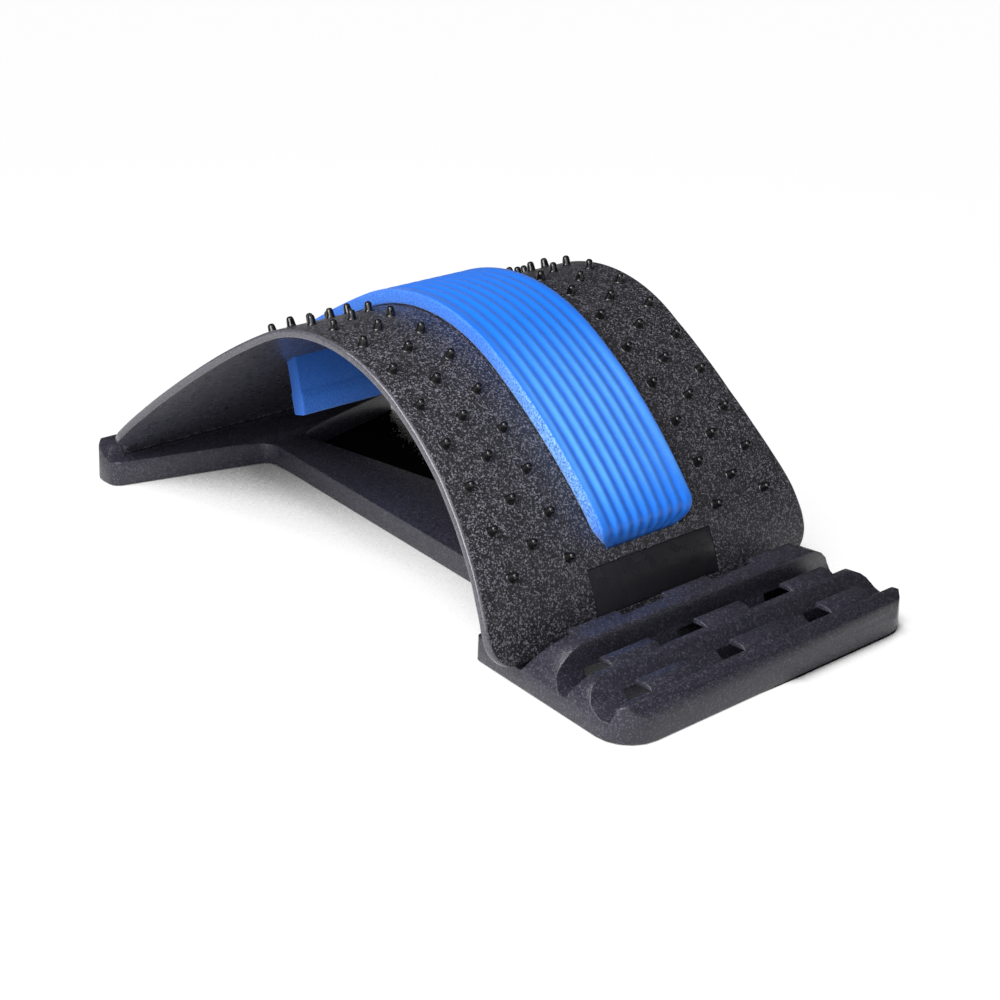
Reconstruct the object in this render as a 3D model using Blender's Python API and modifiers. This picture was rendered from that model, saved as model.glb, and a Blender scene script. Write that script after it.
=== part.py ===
"""Lumbar back stretcher: a moulded base, a flexible arch plate with pressure nubs and a ribbed foam pad.

The base lies on the floor with its notched block at -Y and its hinge bar at +Y. The arch plate is
hinged on the bar, bows over the base and stands with its front edge in one of three notches.
Lengths are in metres, +Z is up, and the origin is on the floor below the middle of the base.
"""

import math

import bmesh
import bpy
from mathutils import Matrix, Vector

MM = 0.001

# How finely the shapes are drawn
WELD = 0.01 * MM
TINY = 1e-7
FLAT_ANGLE = math.radians(0.5)
SMOOTH_ANGLE = math.radians(35)
BASE_SHARP_ANGLE = math.radians(50)
PANEL_SHARP_ANGLE = math.radians(60)
STRAIGHT_HALF_ANGLE = math.radians(80)
ARC_STEP = 7 * MM
CORNER_STEPS = 5
CORNER_ROWS = 8
FOOT_SIDES = 24
HINGE_SIDES = 20

# Colours (linear) and roughness of the finishes
BASE_COLOUR = (0.042, 0.041, 0.053)
BASE_ROUGHNESS = 0.45
PLATE_COLOUR = (0.038, 0.036, 0.040)
PLATE_ROUGHNESS = 0.5
FOAM_COLOUR = (0.02, 0.19, 0.80)
FOAM_ROUGHNESS = 0.7
LABEL_COLOUR = (0.013, 0.012, 0.014)
LABEL_ROUGHNESS = 0.3
RUBBER_COLOUR = (0.02, 0.02, 0.02)
RUBBER_ROUGHNESS = 0.85

# Overall sizes of the base
BASE_LENGTH = 400 * MM
BAR_HALF_WIDTH = 94.5 * MM
BLOCK_FRONT_INSET = 1.5 * MM
BLOCK_REAR_INSET = 12.5 * MM
BLOCK_LENGTH = 102 * MM
SPINE_FRONT_HALF_WIDTH = 38.5 * MM
SPINE_REAR_HALF_WIDTH = 10 * MM
BAR_MIDDLE_LENGTH = 48 * MM
BAR_END_LENGTH = 24 * MM
BASE_WALL = 2.5 * MM
RIB_THICKNESS = 2 * MM
DRAFT_ANGLE = math.radians(3)
EDGE_ROUND = 0.9 * MM
FRONT_CORNER_RADIUS = 17 * MM
BAR_CORNER_RADIUS = 13 * MM
INNER_CORNER_RADIUS = 9 * MM
BLOCK_REAR_CORNER_RADIUS = 3 * MM
BAR_FRONT_CORNER_RADIUS = 6.5 * MM
RIDGE_END_STRETCH = 1.1
RIDGE_END_RISE = 0.6 * MM
BAR_END_ROUND = 9 * MM
SPINE_RIBS = 6

# Heights of the base above its own underside
PLATFORM_HEIGHT = 11 * MM
NOTCH_FLOOR_HEIGHT = 8 * MM
REAR_RIDGE_HEIGHT = 26 * MM
MIDDLE_RIDGE_HEIGHT = 19.5 * MM
FRONT_RIDGE_HEIGHT = 17 * MM
BAR_FRONT_HEIGHT = 12.5 * MM
BAR_RIM_HEIGHT = 19.5 * MM
BAR_RIM_THICKNESS = 5.5 * MM
BAR_RIM_START = 5 * MM
BAR_RIM_RISE = 5 * MM
BAR_END_WALL = 11 * MM

# Notches, measured from the front end of the base to the middle of each notch floor
NOTCH_FLOOR_LENGTH = 5 * MM
FRONT_NOTCH_SETBACK = 14.5 * MM
MIDDLE_NOTCH_SETBACK = 41.5 * MM
REAR_NOTCH_SETBACK = 71.5 * MM
FRONT_LIP_SETBACK = 7 * MM
FRONT_LIP_LENGTH = 2 * MM
MIDDLE_RIDGE_SETBACK = 28 * MM
MIDDLE_RIDGE_LENGTH = 4 * MM
REAR_RIDGE_SETBACK = 45.5 * MM
REAR_RIDGE_LENGTH = 9 * MM
RIDGE_OVERHANG = 1.5 * MM
SHOULDER_DROP = 6 * MM
FRONT_RAMP_RISE = 3 * MM
REAR_RAMP_RISE = 6 * MM
PLATFORM_RAMP_LENGTH = 3 * MM
BAR_STEP_LENGTH = 6 * MM
TOP_ROUND = 1.2 * MM
LIP_REAR_ROUND = 0.6 * MM
LIP_FRONT_ROUND = 3 * MM
SHOULDER_ROUND = 9 * MM
FLOOR_ROUND = 1.2 * MM
FRONT_RAMP_ROUND = 7 * MM
REAR_RAMP_ROUND = 6 * MM
RIDGE_BACK_ROUND = 4 * MM
BAR_STEP_ROUND = 3 * MM

# Hollows under the two tall ridges, measured back from each ridge
MIDDLE_HOLLOW_START = 1.5 * MM
MIDDLE_HOLLOW_END = 2.25 * MM
MIDDLE_HOLLOW_FOOT = 7.5 * MM
MIDDLE_HOLLOW_ROOF = 3.75 * MM
REAR_HOLLOW_FRONT_FOOT = 4 * MM
REAR_HOLLOW_START = 3.5 * MM
REAR_HOLLOW_END_WALL = 1.5 * MM
REAR_HOLLOW_FOOT = 8 * MM
PLATFORM_HOLLOW_SETBACK = 10 * MM

# Hoods that keep the plate's tabs down, three on each ridge. Each one swells out of its ridge's
# crest, rises above it and reaches back over the notch.
HOOD_COUNT = 3
HOOD_PITCH = 56 * MM
HOOD_WIDTH = 28 * MM
HOOD_THICKNESS = 2.2 * MM
FRONT_HOOD_RISE = 2 * MM
MIDDLE_HOOD_RISE = 1.7 * MM
REAR_HOOD_RISE = 0.5 * MM
FRONT_HOOD_REACH = 9 * MM
MIDDLE_HOOD_REACH = 6.5 * MM
REAR_HOOD_REACH = 3.5 * MM
HOOD_ROOT = 0.5 * MM
HOOD_START = 0.5 * MM
HOOD_START_DEPTH = 1 * MM
HOOD_KNEE = 1 * MM
HOOD_KNEE_ROUND = 5 * MM
HOOD_TIP_ROUND = 0.9 * MM

# Openings in the notch floors below the hoods, where the mould's lower half reaches through
TAB_SLOT_WIDTH = 30 * MM
TAB_SLOT_FRONT = 2.8 * MM
FRONT_TAB_SLOT_REAR = 9 * MM
MIDDLE_TAB_SLOT_REAR = 5.3 * MM
REAR_TAB_SLOT_REAR = 2.8 * MM
FRONT_TAB_SLOT_RISE = 5 * MM
MIDDLE_TAB_SLOT_RISE = 5 * MM
REAR_TAB_SLOT_RISE = 0.6 * MM

# Feet
FOOT_RADIUS = 6 * MM
FOOT_THICKNESS = 2.2 * MM
FOOT_PROUD = 0.8 * MM
FRONT_FOOT_INSET = 16 * MM
FRONT_FOOT_SETBACK = 24 * MM
REAR_FOOT_INSET = 16 * MM
REAR_FOOT_SETBACK = 12 * MM
FOOT_BOSS_WALL = 2 * MM

# Arch plate
PLATE_THICKNESS = 4 * MM
PLATE_FRONT_CORNER = 15 * MM
PLATE_EDGE_ROUND = 0.9 * MM
PLATE_TAB_WIDTH = 20 * MM
PLATE_TAB_LENGTH = 3 * MM
PLATE_TAB_ROOT = 2 * MM
PLATE_TAB_INSET = 0.45 * MM
HINGE_SETBACK = 13 * MM
HINGE_HEIGHT = 13.5 * MM
HINGE_BEAD_RADIUS = 3.6 * MM
HINGE_PIN_RADIUS = 2.6 * MM
HINGE_PIN_LENGTH = 3 * MM
GROOVE_ROUND_SHARE = 0.98
REAR_SLOPE = math.radians(44.5)

# Bends of the plate from its hinge to its front edge: arc length and change of slope. All lengths
# along the plate grow or shrink together, so that its front edge always stands in the rear notch.
PLATE_EDGE_LEAD = 1.63 * MM
ARCH_BENDS = (
    (45 * MM, math.radians(8.2)),
    (45 * MM, math.radians(2.5)),
    (45 * MM, math.radians(2.6)),
    (45 * MM, math.radians(5.6)),
    (45 * MM, math.radians(29.0)),
    (45 * MM, math.radians(28.3)),
    (45 * MM, math.radians(11.0)),
    (45 * MM, math.radians(8.9)),
    (25 * MM, math.radians(16.8)),
    (20 * MM, math.radians(14.4)),
)
CREST = 219 * MM

# How far the plate's side edges lie inside the bar's ends, at arc lengths from its hinge: narrow
# between the bar's ends, then a waist just in front of the crest and a flare at the front edge
PLATE_REAR_STATIONS = 5
PLATE_INSETS = (
    (0 * MM, 11.5 * MM),
    (9 * MM, 11.5 * MM),
    (13 * MM, 5.5 * MM),
    (18 * MM, 1.5 * MM),
    (25 * MM, 0 * MM),
    (70 * MM, 0 * MM),
    (130 * MM, 1 * MM),
    (180 * MM, 2.5 * MM),
    (217 * MM, 3.5 * MM),
    (250 * MM, 4.7 * MM),
    (275 * MM, 5.8 * MM),
    (297 * MM, 5.3 * MM),
    (318 * MM, 4.1 * MM),
    (338 * MM, 1.5 * MM),
    (356 * MM, -1.5 * MM),
    (372 * MM, -4.5 * MM),
    (385 * MM, -6 * MM),
)

# Nubs: 15 rows in the outer columns and 14 between them, on each side of the pad, closer behind
# the crest than in front of it
NUB_FRONT_ROWS = 7
NUB_REAR_ROWS = 5
NUB_FRONT_PITCH = 21.3 * MM
NUB_REAR_PITCH = 17.3 * MM
NUB_PAD_GAP = 16.1 * MM
NUB_EDGE_INSET = 15.2 * MM
NUB_MIDDLE_SHARE = 0.4923
NUB_BASE_RADIUS = 2.4 * MM
NUB_SHOULDER_RADIUS = 1.9 * MM
NUB_TIP_RADIUS = 1.0 * MM
NUB_SHOULDER_HEIGHT = 3.4 * MM
NUB_HEIGHT = 4.6 * MM
NUB_SINK = 1 * MM
NUB_SIDES = 8

# Pad
PAD_HALF_WIDTH = 30.5 * MM
PAD_THICKNESS = 7 * MM
PAD_REAR_SLOT = 107 * MM
PAD_FRONT_SLOT = 363.2 * MM
PAD_TURN_RADIUS = 5.8 * MM
PAD_REAR_TAIL = 37 * MM
PAD_FRONT_TAIL = 24 * MM
PAD_REAR_TAIL_LEAN = math.radians(13)
PAD_FRONT_TAIL_LEAN = math.radians(-28)
PAD_HEM_THICKNESS = 8.5 * MM
PAD_HEM_LENGTH = 12 * MM
PAD_EDGE_ROUND = 1.2 * MM
PAD_TURN_STEPS = 4

# Label plate
LABEL_HALF_WIDTH = 39 * MM
LABEL_LENGTH = 22 * MM
LABEL_SETBACK = 29 * MM
LABEL_THICKNESS = 0.8 * MM
LABEL_RECESS = 1.4 * MM

# Clearances
FIT_GAP = 0.3 * MM
SLOT_GAP = 1.2 * MM
SLOT_RUN_IN = 1 * MM
SLOT_RUN_OUT = 15 * MM
HINGE_GAP = 0.3 * MM
CUT_MARGIN = 2 * MM


def bends_reach():
    """Return how far the bends carry the plate's top surface towards the front."""
    slope = -REAR_SLOPE
    reach = 0.0
    for length, turn in ARCH_BENDS:
        chord = 2 * length * math.sin(turn / 2) / turn
        reach += chord * math.cos(slope + turn / 2)
        slope += turn
    return reach


FRONT = -BASE_LENGTH / 2
REAR = BASE_LENGTH / 2
FLOOR = FOOT_PROUD
HINGE_Y = REAR - HINGE_SETBACK
HINGE_Z = FLOOR + HINGE_HEIGHT
BLOCK_FRONT_HALF_WIDTH = BAR_HALF_WIDTH - BLOCK_FRONT_INSET
BLOCK_REAR_HALF_WIDTH = BAR_HALF_WIDTH - BLOCK_REAR_INSET
PLATE_START_Y = HINGE_Y + math.sin(REAR_SLOPE) * PLATE_THICKNESS / 2
PLATE_EDGE_Y = FRONT + REAR_NOTCH_SETBACK - PLATE_EDGE_LEAD
ARCH_SCALE = (PLATE_START_Y - PLATE_EDGE_Y) / bends_reach()
ARCH_LENGTH = ARCH_SCALE * sum(length for length, turn in ARCH_BENDS)


def clear_scene():
    """Remove every object, so that the model starts from nothing."""
    for item in list(bpy.data.objects):
        bpy.data.objects.remove(item, do_unlink=True)


def make_collection(name):
    """Return a new collection linked to the scene."""
    collection = bpy.data.collections.new(name)
    bpy.context.scene.collection.children.link(collection)
    return collection


def make_material(name, colour, roughness):
    """Return a Principled material of one colour."""
    material = bpy.data.materials.new(name)
    material.use_nodes = True
    shader = material.node_tree.nodes["Principled BSDF"]
    shader.inputs["Base Color"].default_value = (*colour, 1.0)
    shader.inputs["Roughness"].default_value = roughness
    shader.inputs["Metallic"].default_value = 0.0
    return material


def add_object(name, mesh, collection):
    """Add a mesh to a collection as a new object."""
    item = bpy.data.objects.new(name, mesh)
    collection.objects.link(item)
    return item


def add_bmesh(name, bm, collection):
    """Turn a bmesh into an object with its faces pointing out."""
    bmesh.ops.recalc_face_normals(bm, faces=bm.faces)
    mesh = bpy.data.meshes.new(name)
    bm.to_mesh(mesh)
    bm.free()
    return add_object(name, mesh, collection)


def as_cutter(item):
    """Mark an object as a tool that cuts or joins and isn't part of the model."""
    item.hide_render = True
    item.display_type = "WIRE"
    return item


def freeze(item):
    """Replace an object's mesh by what its modifiers make of it."""
    graph = bpy.context.evaluated_depsgraph_get()
    mesh = bpy.data.meshes.new_from_object(item.evaluated_get(graph))
    item.modifiers.clear()
    item.data = mesh
    return item


def combine(item, other, operation):
    """Join, cut or intersect an object with another one by an exact Boolean."""
    step = item.modifiers.new(f"{operation.lower()}_{other.name}", "BOOLEAN")
    step.object = other
    step.operation = operation
    step.solver = "EXACT"
    return freeze(item)


def gather(name, items, collection):
    """Return one object with the meshes of several that don't touch, and remove those."""
    bm = bmesh.new()
    for item in items:
        bm.from_mesh(item.data)
        bpy.data.objects.remove(item, do_unlink=True)
    return add_bmesh(name, bm, collection)


def soften(item, width, angle, segments=2):
    """Round an object's sharp edges."""
    step = item.modifiers.new("edge_round", "BEVEL")
    step.width = width
    step.segments = segments
    step.limit_method = "ANGLE"
    step.angle_limit = angle
    step.use_clamp_overlap = True
    return freeze(item)


def shade(item, angle=SMOOTH_ANGLE):
    """Shade an object smooth up to an angle."""
    item.data.shade_smooth()
    item.data.set_sharp_from_angle(angle=angle)


def outline_prism(name, points, half_depth, matrix, collection):
    """Extrude a flat closed outline both ways from its plane and return it as a mesh object."""
    curve = bpy.data.curves.new(name, "CURVE")
    curve.dimensions = "2D"
    curve.fill_mode = "BOTH"
    curve.extrude = half_depth
    spline = curve.splines.new("POLY")
    spline.points.add(len(points) - 1)
    for point, (a, b) in zip(spline.points, points):
        point.co = (a, b, 0.0, 1.0)
    spline.use_cyclic_u = True
    source = bpy.data.objects.new(name, curve)
    source.matrix_world = matrix
    collection.objects.link(source)
    graph = bpy.context.evaluated_depsgraph_get()
    graph.update()
    mesh = bpy.data.meshes.new_from_object(source.evaluated_get(graph))
    bm = bmesh.new()
    bm.from_mesh(mesh)
    bmesh.ops.remove_doubles(bm, verts=bm.verts, dist=WELD)
    bmesh.ops.transform(bm, matrix=matrix, verts=bm.verts)
    bpy.data.objects.remove(source, do_unlink=True)
    bpy.data.curves.remove(curve)
    bpy.data.meshes.remove(mesh)
    bmesh.ops.dissolve_limit(bm, angle_limit=FLAT_ANGLE, verts=bm.verts, edges=bm.edges)
    return add_bmesh(name, bm, collection)


def side_prism(name, points, half_width, centre_x, collection):
    """Extrude an outline in the YZ plane along X."""
    turn = Matrix(((0, 0, 1, centre_x), (1, 0, 0, 0), (0, 1, 0, 0), (0, 0, 0, 1)))
    return outline_prism(name, points, half_width, turn, collection)


def plan_prism(name, points, low, high, collection):
    """Extrude an outline in the XY plane from one height to another."""
    lift = Matrix.Translation((0, 0, (low + high) / 2))
    return outline_prism(name, points, (high - low) / 2, lift, collection)


def box(name, low, high, collection):
    """Add a box between two corners."""
    size = Vector(high) - Vector(low)
    centre = (Vector(high) + Vector(low)) / 2
    bm = bmesh.new()
    place = Matrix.Translation(centre) @ Matrix.Diagonal((*size, 1))
    bmesh.ops.create_cube(bm, size=1.0, matrix=place)
    return add_bmesh(name, bm, collection)


def cylinder(name, radius, low, high, axis, sides, collection):
    """Add a cylinder whose end faces are centred on two points along X or Z."""
    start = Vector(low)
    end = Vector(high)
    turn = Matrix.Rotation(math.pi / 2, 4, "Y") if axis == "X" else Matrix.Identity(4)
    bm = bmesh.new()
    bmesh.ops.create_cone(
        bm, cap_ends=True, segments=sides, radius1=radius, radius2=radius,
        depth=(end - start).length, matrix=Matrix.Translation((start + end) / 2) @ turn,
    )
    return add_bmesh(name, bm, collection)


def rounded(corners):
    """Return an outline whose corners (a, b, radius) are rounded by arcs of CORNER_STEPS steps."""
    points = []
    count = len(corners)
    for index, (a, b, radius) in enumerate(corners):
        here = Vector((a, b))
        if radius == 0:
            points.append((a, b))
            continue
        before = (Vector(corners[index - 1][:2]) - here).normalized()
        after = (Vector(corners[(index + 1) % count][:2]) - here).normalized()
        half = before.angle(after) / 2
        reach = radius / math.tan(half)
        centre = here + (before + after).normalized() * radius / math.sin(half)
        start = here + before * reach - centre
        sweep = before.cross(after)
        turn = math.copysign(math.pi - 2 * half, -sweep)
        for step in range(CORNER_STEPS + 1):
            angle = turn * step / CORNER_STEPS
            c, s = math.cos(angle), math.sin(angle)
            spot = centre + Vector((start.x * c - start.y * s, start.x * s + start.y * c))
            points.append((spot.x, spot.y))
    return points


def mirrored(corners):
    """Return a closed outline from the corners of its +X half, mirrored at X = 0."""
    return corners + [(-x, y, radius) for x, y, radius in reversed(corners)]


def arch_at(distance, offset=0.0):
    """Return (y, z, slope) at an arc length from the hinge, moved out from the plate's top surface.

    The arc length is measured along the top surface. The slope is the angle below the horizontal
    towards the front, so it is negative where the plate still climbs.
    """
    slope = -REAR_SLOPE
    y = PLATE_START_Y
    z = HINGE_Z + math.cos(REAR_SLOPE) * PLATE_THICKNESS / 2
    left = distance
    for index, (share, turn) in enumerate(ARCH_BENDS):
        length = ARCH_SCALE * share
        run = max(left if index == len(ARCH_BENDS) - 1 else min(left, length), 0.0)
        bend = turn * run / length
        chord = run if abs(bend) < TINY else 2 * run * math.sin(bend / 2) / bend
        y -= chord * math.cos(slope + bend / 2)
        z -= chord * math.sin(slope + bend / 2)
        slope += bend
        left -= run
        if left <= 0:
            break
    if distance < 0:
        y -= distance * math.cos(slope)
        z -= distance * math.sin(slope)
    return y - offset * math.sin(slope), z + offset * math.cos(slope), slope


def arch_stations(start, end, step=ARC_STEP):
    """Return evenly spaced arc lengths from start to end."""
    count = max(1, math.ceil((end - start) / step))
    return [start + (end - start) * index / count for index in range(count + 1)]


def arch_band(name, start, end, low, high, half_width, collection):
    """Add a bent slab that follows the plate between two arc lengths and two offsets."""
    stations = arch_stations(start, end)
    top = [arch_at(distance, high)[:2] for distance in stations]
    bottom = [arch_at(distance, low)[:2] for distance in reversed(stations)]
    return side_prism(name, top + bottom, half_width, 0.0, collection)


def plate_half_width(distance):
    """Return the plate's half width at an arc length, with its rounded front corners."""
    inset = PLATE_INSETS[-1][1]
    place = distance / ARCH_SCALE
    for (start, low), (end, high) in zip(PLATE_INSETS, PLATE_INSETS[1:]):
        if place < end:
            inset = low + (high - low) * max(place - start, 0.0) / (end - start)
            break
    width = BAR_HALF_WIDTH - inset
    edge = ARCH_LENGTH - distance
    if edge < PLATE_FRONT_CORNER:
        reach = PLATE_FRONT_CORNER - edge
        width -= PLATE_FRONT_CORNER - math.sqrt(max(PLATE_FRONT_CORNER ** 2 - reach ** 2, 0.0))
    return width


def base_plan(inset=0.0):
    """Return the outline of the base from above, moved in by an inset."""
    block_rear = FRONT + BLOCK_LENGTH - inset
    bar_front = REAR - BAR_MIDDLE_LENGTH + inset
    bar_end = REAR - BAR_END_LENGTH + inset
    inner = INNER_CORNER_RADIUS
    half = [
        (BLOCK_FRONT_HALF_WIDTH - inset, FRONT + inset, FRONT_CORNER_RADIUS - inset),
        (BLOCK_REAR_HALF_WIDTH - inset, block_rear, BLOCK_REAR_CORNER_RADIUS),
        (SPINE_FRONT_HALF_WIDTH - inset, block_rear, inner),
        (SPINE_REAR_HALF_WIDTH - inset, bar_front, inner),
        (BAR_HALF_WIDTH - inset, bar_end, BAR_FRONT_CORNER_RADIUS),
        (BAR_HALF_WIDTH - inset, REAR - inset, BAR_CORNER_RADIUS - inset),
    ]
    return rounded(mirrored(half))


def base_side():
    """Return the outline of the base from the side, from its front end to its rear end."""
    lip = FRONT + FRONT_LIP_SETBACK
    front_notch = FRONT + FRONT_NOTCH_SETBACK
    middle_ridge = FRONT + MIDDLE_RIDGE_SETBACK
    middle_notch = FRONT + MIDDLE_NOTCH_SETBACK
    rear_ridge = FRONT + REAR_RIDGE_SETBACK
    rear_notch = FRONT + REAR_NOTCH_SETBACK
    half_floor = NOTCH_FLOOR_LENGTH / 2
    draft = math.tan(DRAFT_ANGLE) * FRONT_RIDGE_HEIGHT
    notch = FLOOR + NOTCH_FLOOR_HEIGHT
    front_top = FLOOR + FRONT_RIDGE_HEIGHT
    middle_top = FLOOR + MIDDLE_RIDGE_HEIGHT
    rear_top = FLOOR + REAR_RIDGE_HEIGHT
    platform = FLOOR + PLATFORM_HEIGHT
    bar_top = FLOOR + BAR_FRONT_HEIGHT
    rim_top = FLOOR + BAR_RIM_HEIGHT
    bar_front = REAR - BAR_MIDDLE_LENGTH
    rim_front = REAR - BAR_END_LENGTH + BAR_RIM_START
    return rounded([
        (FRONT, FLOOR, 0),
        (FRONT + draft, front_top - SHOULDER_DROP, SHOULDER_ROUND),
        (lip, front_top, LIP_FRONT_ROUND),
        (lip + FRONT_LIP_LENGTH, front_top, LIP_REAR_ROUND),
        (front_notch - half_floor, notch, FLOOR_ROUND),
        (front_notch + half_floor, notch, FLOOR_ROUND),
        (middle_ridge - NOTCH_FLOOR_LENGTH, notch + FRONT_RAMP_RISE, FRONT_RAMP_ROUND),
        (middle_ridge, middle_top, TOP_ROUND),
        (middle_ridge + MIDDLE_RIDGE_LENGTH, middle_top, TOP_ROUND),
        (middle_notch - half_floor, notch, FLOOR_ROUND),
        (middle_notch + half_floor, notch, FLOOR_ROUND),
        (rear_ridge + RIDGE_OVERHANG, notch + REAR_RAMP_RISE, REAR_RAMP_ROUND),
        (rear_ridge, rear_top, TOP_ROUND),
        (rear_ridge + REAR_RIDGE_LENGTH, rear_top, RIDGE_BACK_ROUND),
        (rear_notch - half_floor, notch, FLOOR_ROUND),
        (rear_notch + half_floor, notch, FLOOR_ROUND),
        (rear_notch + half_floor + PLATFORM_RAMP_LENGTH, platform, FLOOR_ROUND),
        (bar_front, platform, BAR_STEP_ROUND),
        (bar_front + BAR_STEP_LENGTH, bar_top, BAR_STEP_ROUND),
        (rim_front, bar_top, BAR_STEP_ROUND),
        (rim_front + BAR_RIM_RISE, rim_top, BAR_STEP_ROUND),
        (REAR - draft, rim_top, BAR_STEP_ROUND),
        (REAR, FLOOR, 0),
    ])


def cavity_side():
    """Return the outline of the open space under the base, which leaves a wall below each form."""
    low = FLOOR - CUT_MARGIN
    under_notch = FLOOR + NOTCH_FLOOR_HEIGHT - BASE_WALL
    under_platform = FLOOR + PLATFORM_HEIGHT - BASE_WALL
    under_groove = HINGE_Z - HINGE_BEAD_RADIUS - HINGE_GAP - BASE_WALL
    middle_ridge = FRONT + MIDDLE_RIDGE_SETBACK
    rear_ridge = FRONT + REAR_RIDGE_SETBACK
    ridge_rear = rear_ridge + REAR_RIDGE_LENGTH
    middle_top = FLOOR + MIDDLE_RIDGE_HEIGHT - MIDDLE_HOLLOW_ROOF
    rear_top = FLOOR + REAR_RIDGE_HEIGHT - BASE_WALL
    platform_front = FRONT + REAR_NOTCH_SETBACK + PLATFORM_HOLLOW_SETBACK
    groove_front = HINGE_Y - 2 * HINGE_BEAD_RADIUS - BASE_WALL
    return [
        (FRONT, low),
        (FRONT, under_notch),
        (middle_ridge - BASE_WALL, under_notch),
        (middle_ridge + MIDDLE_HOLLOW_START, middle_top),
        (middle_ridge + MIDDLE_HOLLOW_END, middle_top),
        (middle_ridge + MIDDLE_HOLLOW_FOOT, under_notch),
        (rear_ridge + REAR_HOLLOW_FRONT_FOOT, under_notch),
        (rear_ridge + REAR_HOLLOW_START, rear_top),
        (ridge_rear - REAR_HOLLOW_END_WALL, rear_top),
        (ridge_rear + REAR_HOLLOW_FOOT, under_notch),
        (platform_front, under_notch),
        (platform_front + BASE_WALL, under_platform),
        (groove_front - BASE_WALL, under_platform),
        (groove_front, under_groove),
        (REAR, under_groove),
        (REAR, low),
    ]


def foot_places():
    """Return each foot's name and the centre of its place, seen from above."""
    front = (BLOCK_FRONT_HALF_WIDTH - FRONT_FOOT_INSET, FRONT + FRONT_FOOT_SETBACK)
    rear = (BAR_HALF_WIDTH - REAR_FOOT_INSET, REAR - REAR_FOOT_SETBACK)
    return (
        ("foot_front_left", -front[0], front[1]),
        ("foot_front_right", front[0], front[1]),
        ("foot_rear_left", -rear[0], rear[1]),
        ("foot_rear_right", rear[0], rear[1]),
    )


def hood_centres():
    """Return the X of each hood and tab."""
    first = -(HOOD_COUNT - 1) / 2
    return [(first + index) * HOOD_PITCH for index in range(HOOD_COUNT)]


def build_cavity(tools):
    """Return the open space under the base, divided by ribs and foot bosses."""
    cavity = plan_prism("under_plan", base_plan(BASE_WALL), FLOOR - CUT_MARGIN,
                        FLOOR + REAR_RIDGE_HEIGHT, tools)
    side = side_prism("under_side", cavity_side(), BAR_HALF_WIDTH + CUT_MARGIN, 0.0, tools)
    combine(cavity, side, "INTERSECT")
    low = FLOOR - 2 * CUT_MARGIN
    high = FLOOR + REAR_RIDGE_HEIGHT + CUT_MARGIN
    solid_end = RIDGE_END_STRETCH * (REAR_RIDGE_HEIGHT - NOTCH_FLOOR_HEIGHT) + 2 * BASE_WALL
    for sign in (-1, 1):
        inner = sign * (BLOCK_REAR_HALF_WIDTH - solid_end)
        outer = sign * (BAR_HALF_WIDTH + CUT_MARGIN)
        end = box("ridge_end", (min(inner, outer), FRONT, FLOOR + NOTCH_FLOOR_HEIGHT - BASE_WALL / 2),
                  (max(inner, outer), FRONT + BLOCK_LENGTH, high), tools)
        combine(cavity, end, "DIFFERENCE")
    half_rib = RIB_THICKNESS / 2
    block_rear = FRONT + BLOCK_LENGTH
    bar_front = REAR - BAR_MIDDLE_LENGTH
    for place in (-HOOD_PITCH / 2, HOOD_PITCH / 2):
        rib = box("block_rib", (place - half_rib, FRONT - CUT_MARGIN, low),
                  (place + half_rib, block_rear, high), tools)
        combine(cavity, rib, "DIFFERENCE")
    for index in range(SPINE_RIBS + 1):
        place = block_rear + (bar_front - block_rear) * index / SPINE_RIBS
        rib = box("spine_rib", (-SPINE_FRONT_HALF_WIDTH, place - half_rib, low),
                  (SPINE_FRONT_HALF_WIDTH, place + half_rib, high), tools)
        combine(cavity, rib, "DIFFERENCE")
    for place in (-HOOD_PITCH, -HOOD_PITCH / 2, HOOD_PITCH / 2, HOOD_PITCH):
        rib = box("bar_rib", (place - half_rib, bar_front, low),
                  (place + half_rib, REAR + CUT_MARGIN, high), tools)
        combine(cavity, rib, "DIFFERENCE")
    for name, x, y in foot_places():
        boss = cylinder(f"{name}_boss", FOOT_RADIUS + FOOT_BOSS_WALL, (x, y, low), (x, y, high),
                        "Z", FOOT_SIDES, tools)
        combine(cavity, boss, "DIFFERENCE")
    return cavity


def hood_outline(ridge_front, ridge_rear, crest, rise, reach):
    """Return the side outline of a hood that swells out of a crest and reaches over its notch."""
    top = crest + rise
    tip = ridge_rear + reach
    return rounded([
        (ridge_front + HOOD_START, crest - HOOD_START_DEPTH, 0),
        (ridge_rear + HOOD_KNEE, top, HOOD_KNEE_ROUND),
        (tip, top, HOOD_TIP_ROUND),
        (tip, top - HOOD_THICKNESS, 0),
        (ridge_rear - HOOD_ROOT, top - HOOD_THICKNESS, 0),
        (ridge_rear - HOOD_ROOT, crest - HOOD_START_DEPTH, 0),
    ])


def round_end(base, start, end, top, radius, stretch, tools):
    """Round the top of both ends of a bar that runs across the base, between two edge points.

    The points (x, y) lie on the base's +X end, and the cut follows the line between them. The
    rounding is as high as its radius, and stretch times as long.
    """
    near = Vector(start)
    far = Vector(end)
    along = (far - near).normalized()
    middle = (near + far) / 2
    spare = CUT_MARGIN
    arc = []
    for step in range(CORNER_STEPS + 1):
        angle = math.pi / 2 * step / CORNER_STEPS
        arc.append((stretch * radius * (math.cos(angle) - 1), radius * (math.sin(angle) - 1)))
    outline = arc + [(-stretch * radius, spare), (spare, spare), (spare, -radius)]
    for sign in (-1, 1):
        turn = Matrix((
            (sign * along.y, 0, sign * along.x, sign * middle.x),
            (-along.x, 0, along.y, middle.y),
            (0, 1, 0, top),
            (0, 0, 0, 1),
        ))
        cut = outline_prism("end_cut", outline, (far - near).length / 2, turn, tools)
        combine(base, cut, "DIFFERENCE")


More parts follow.
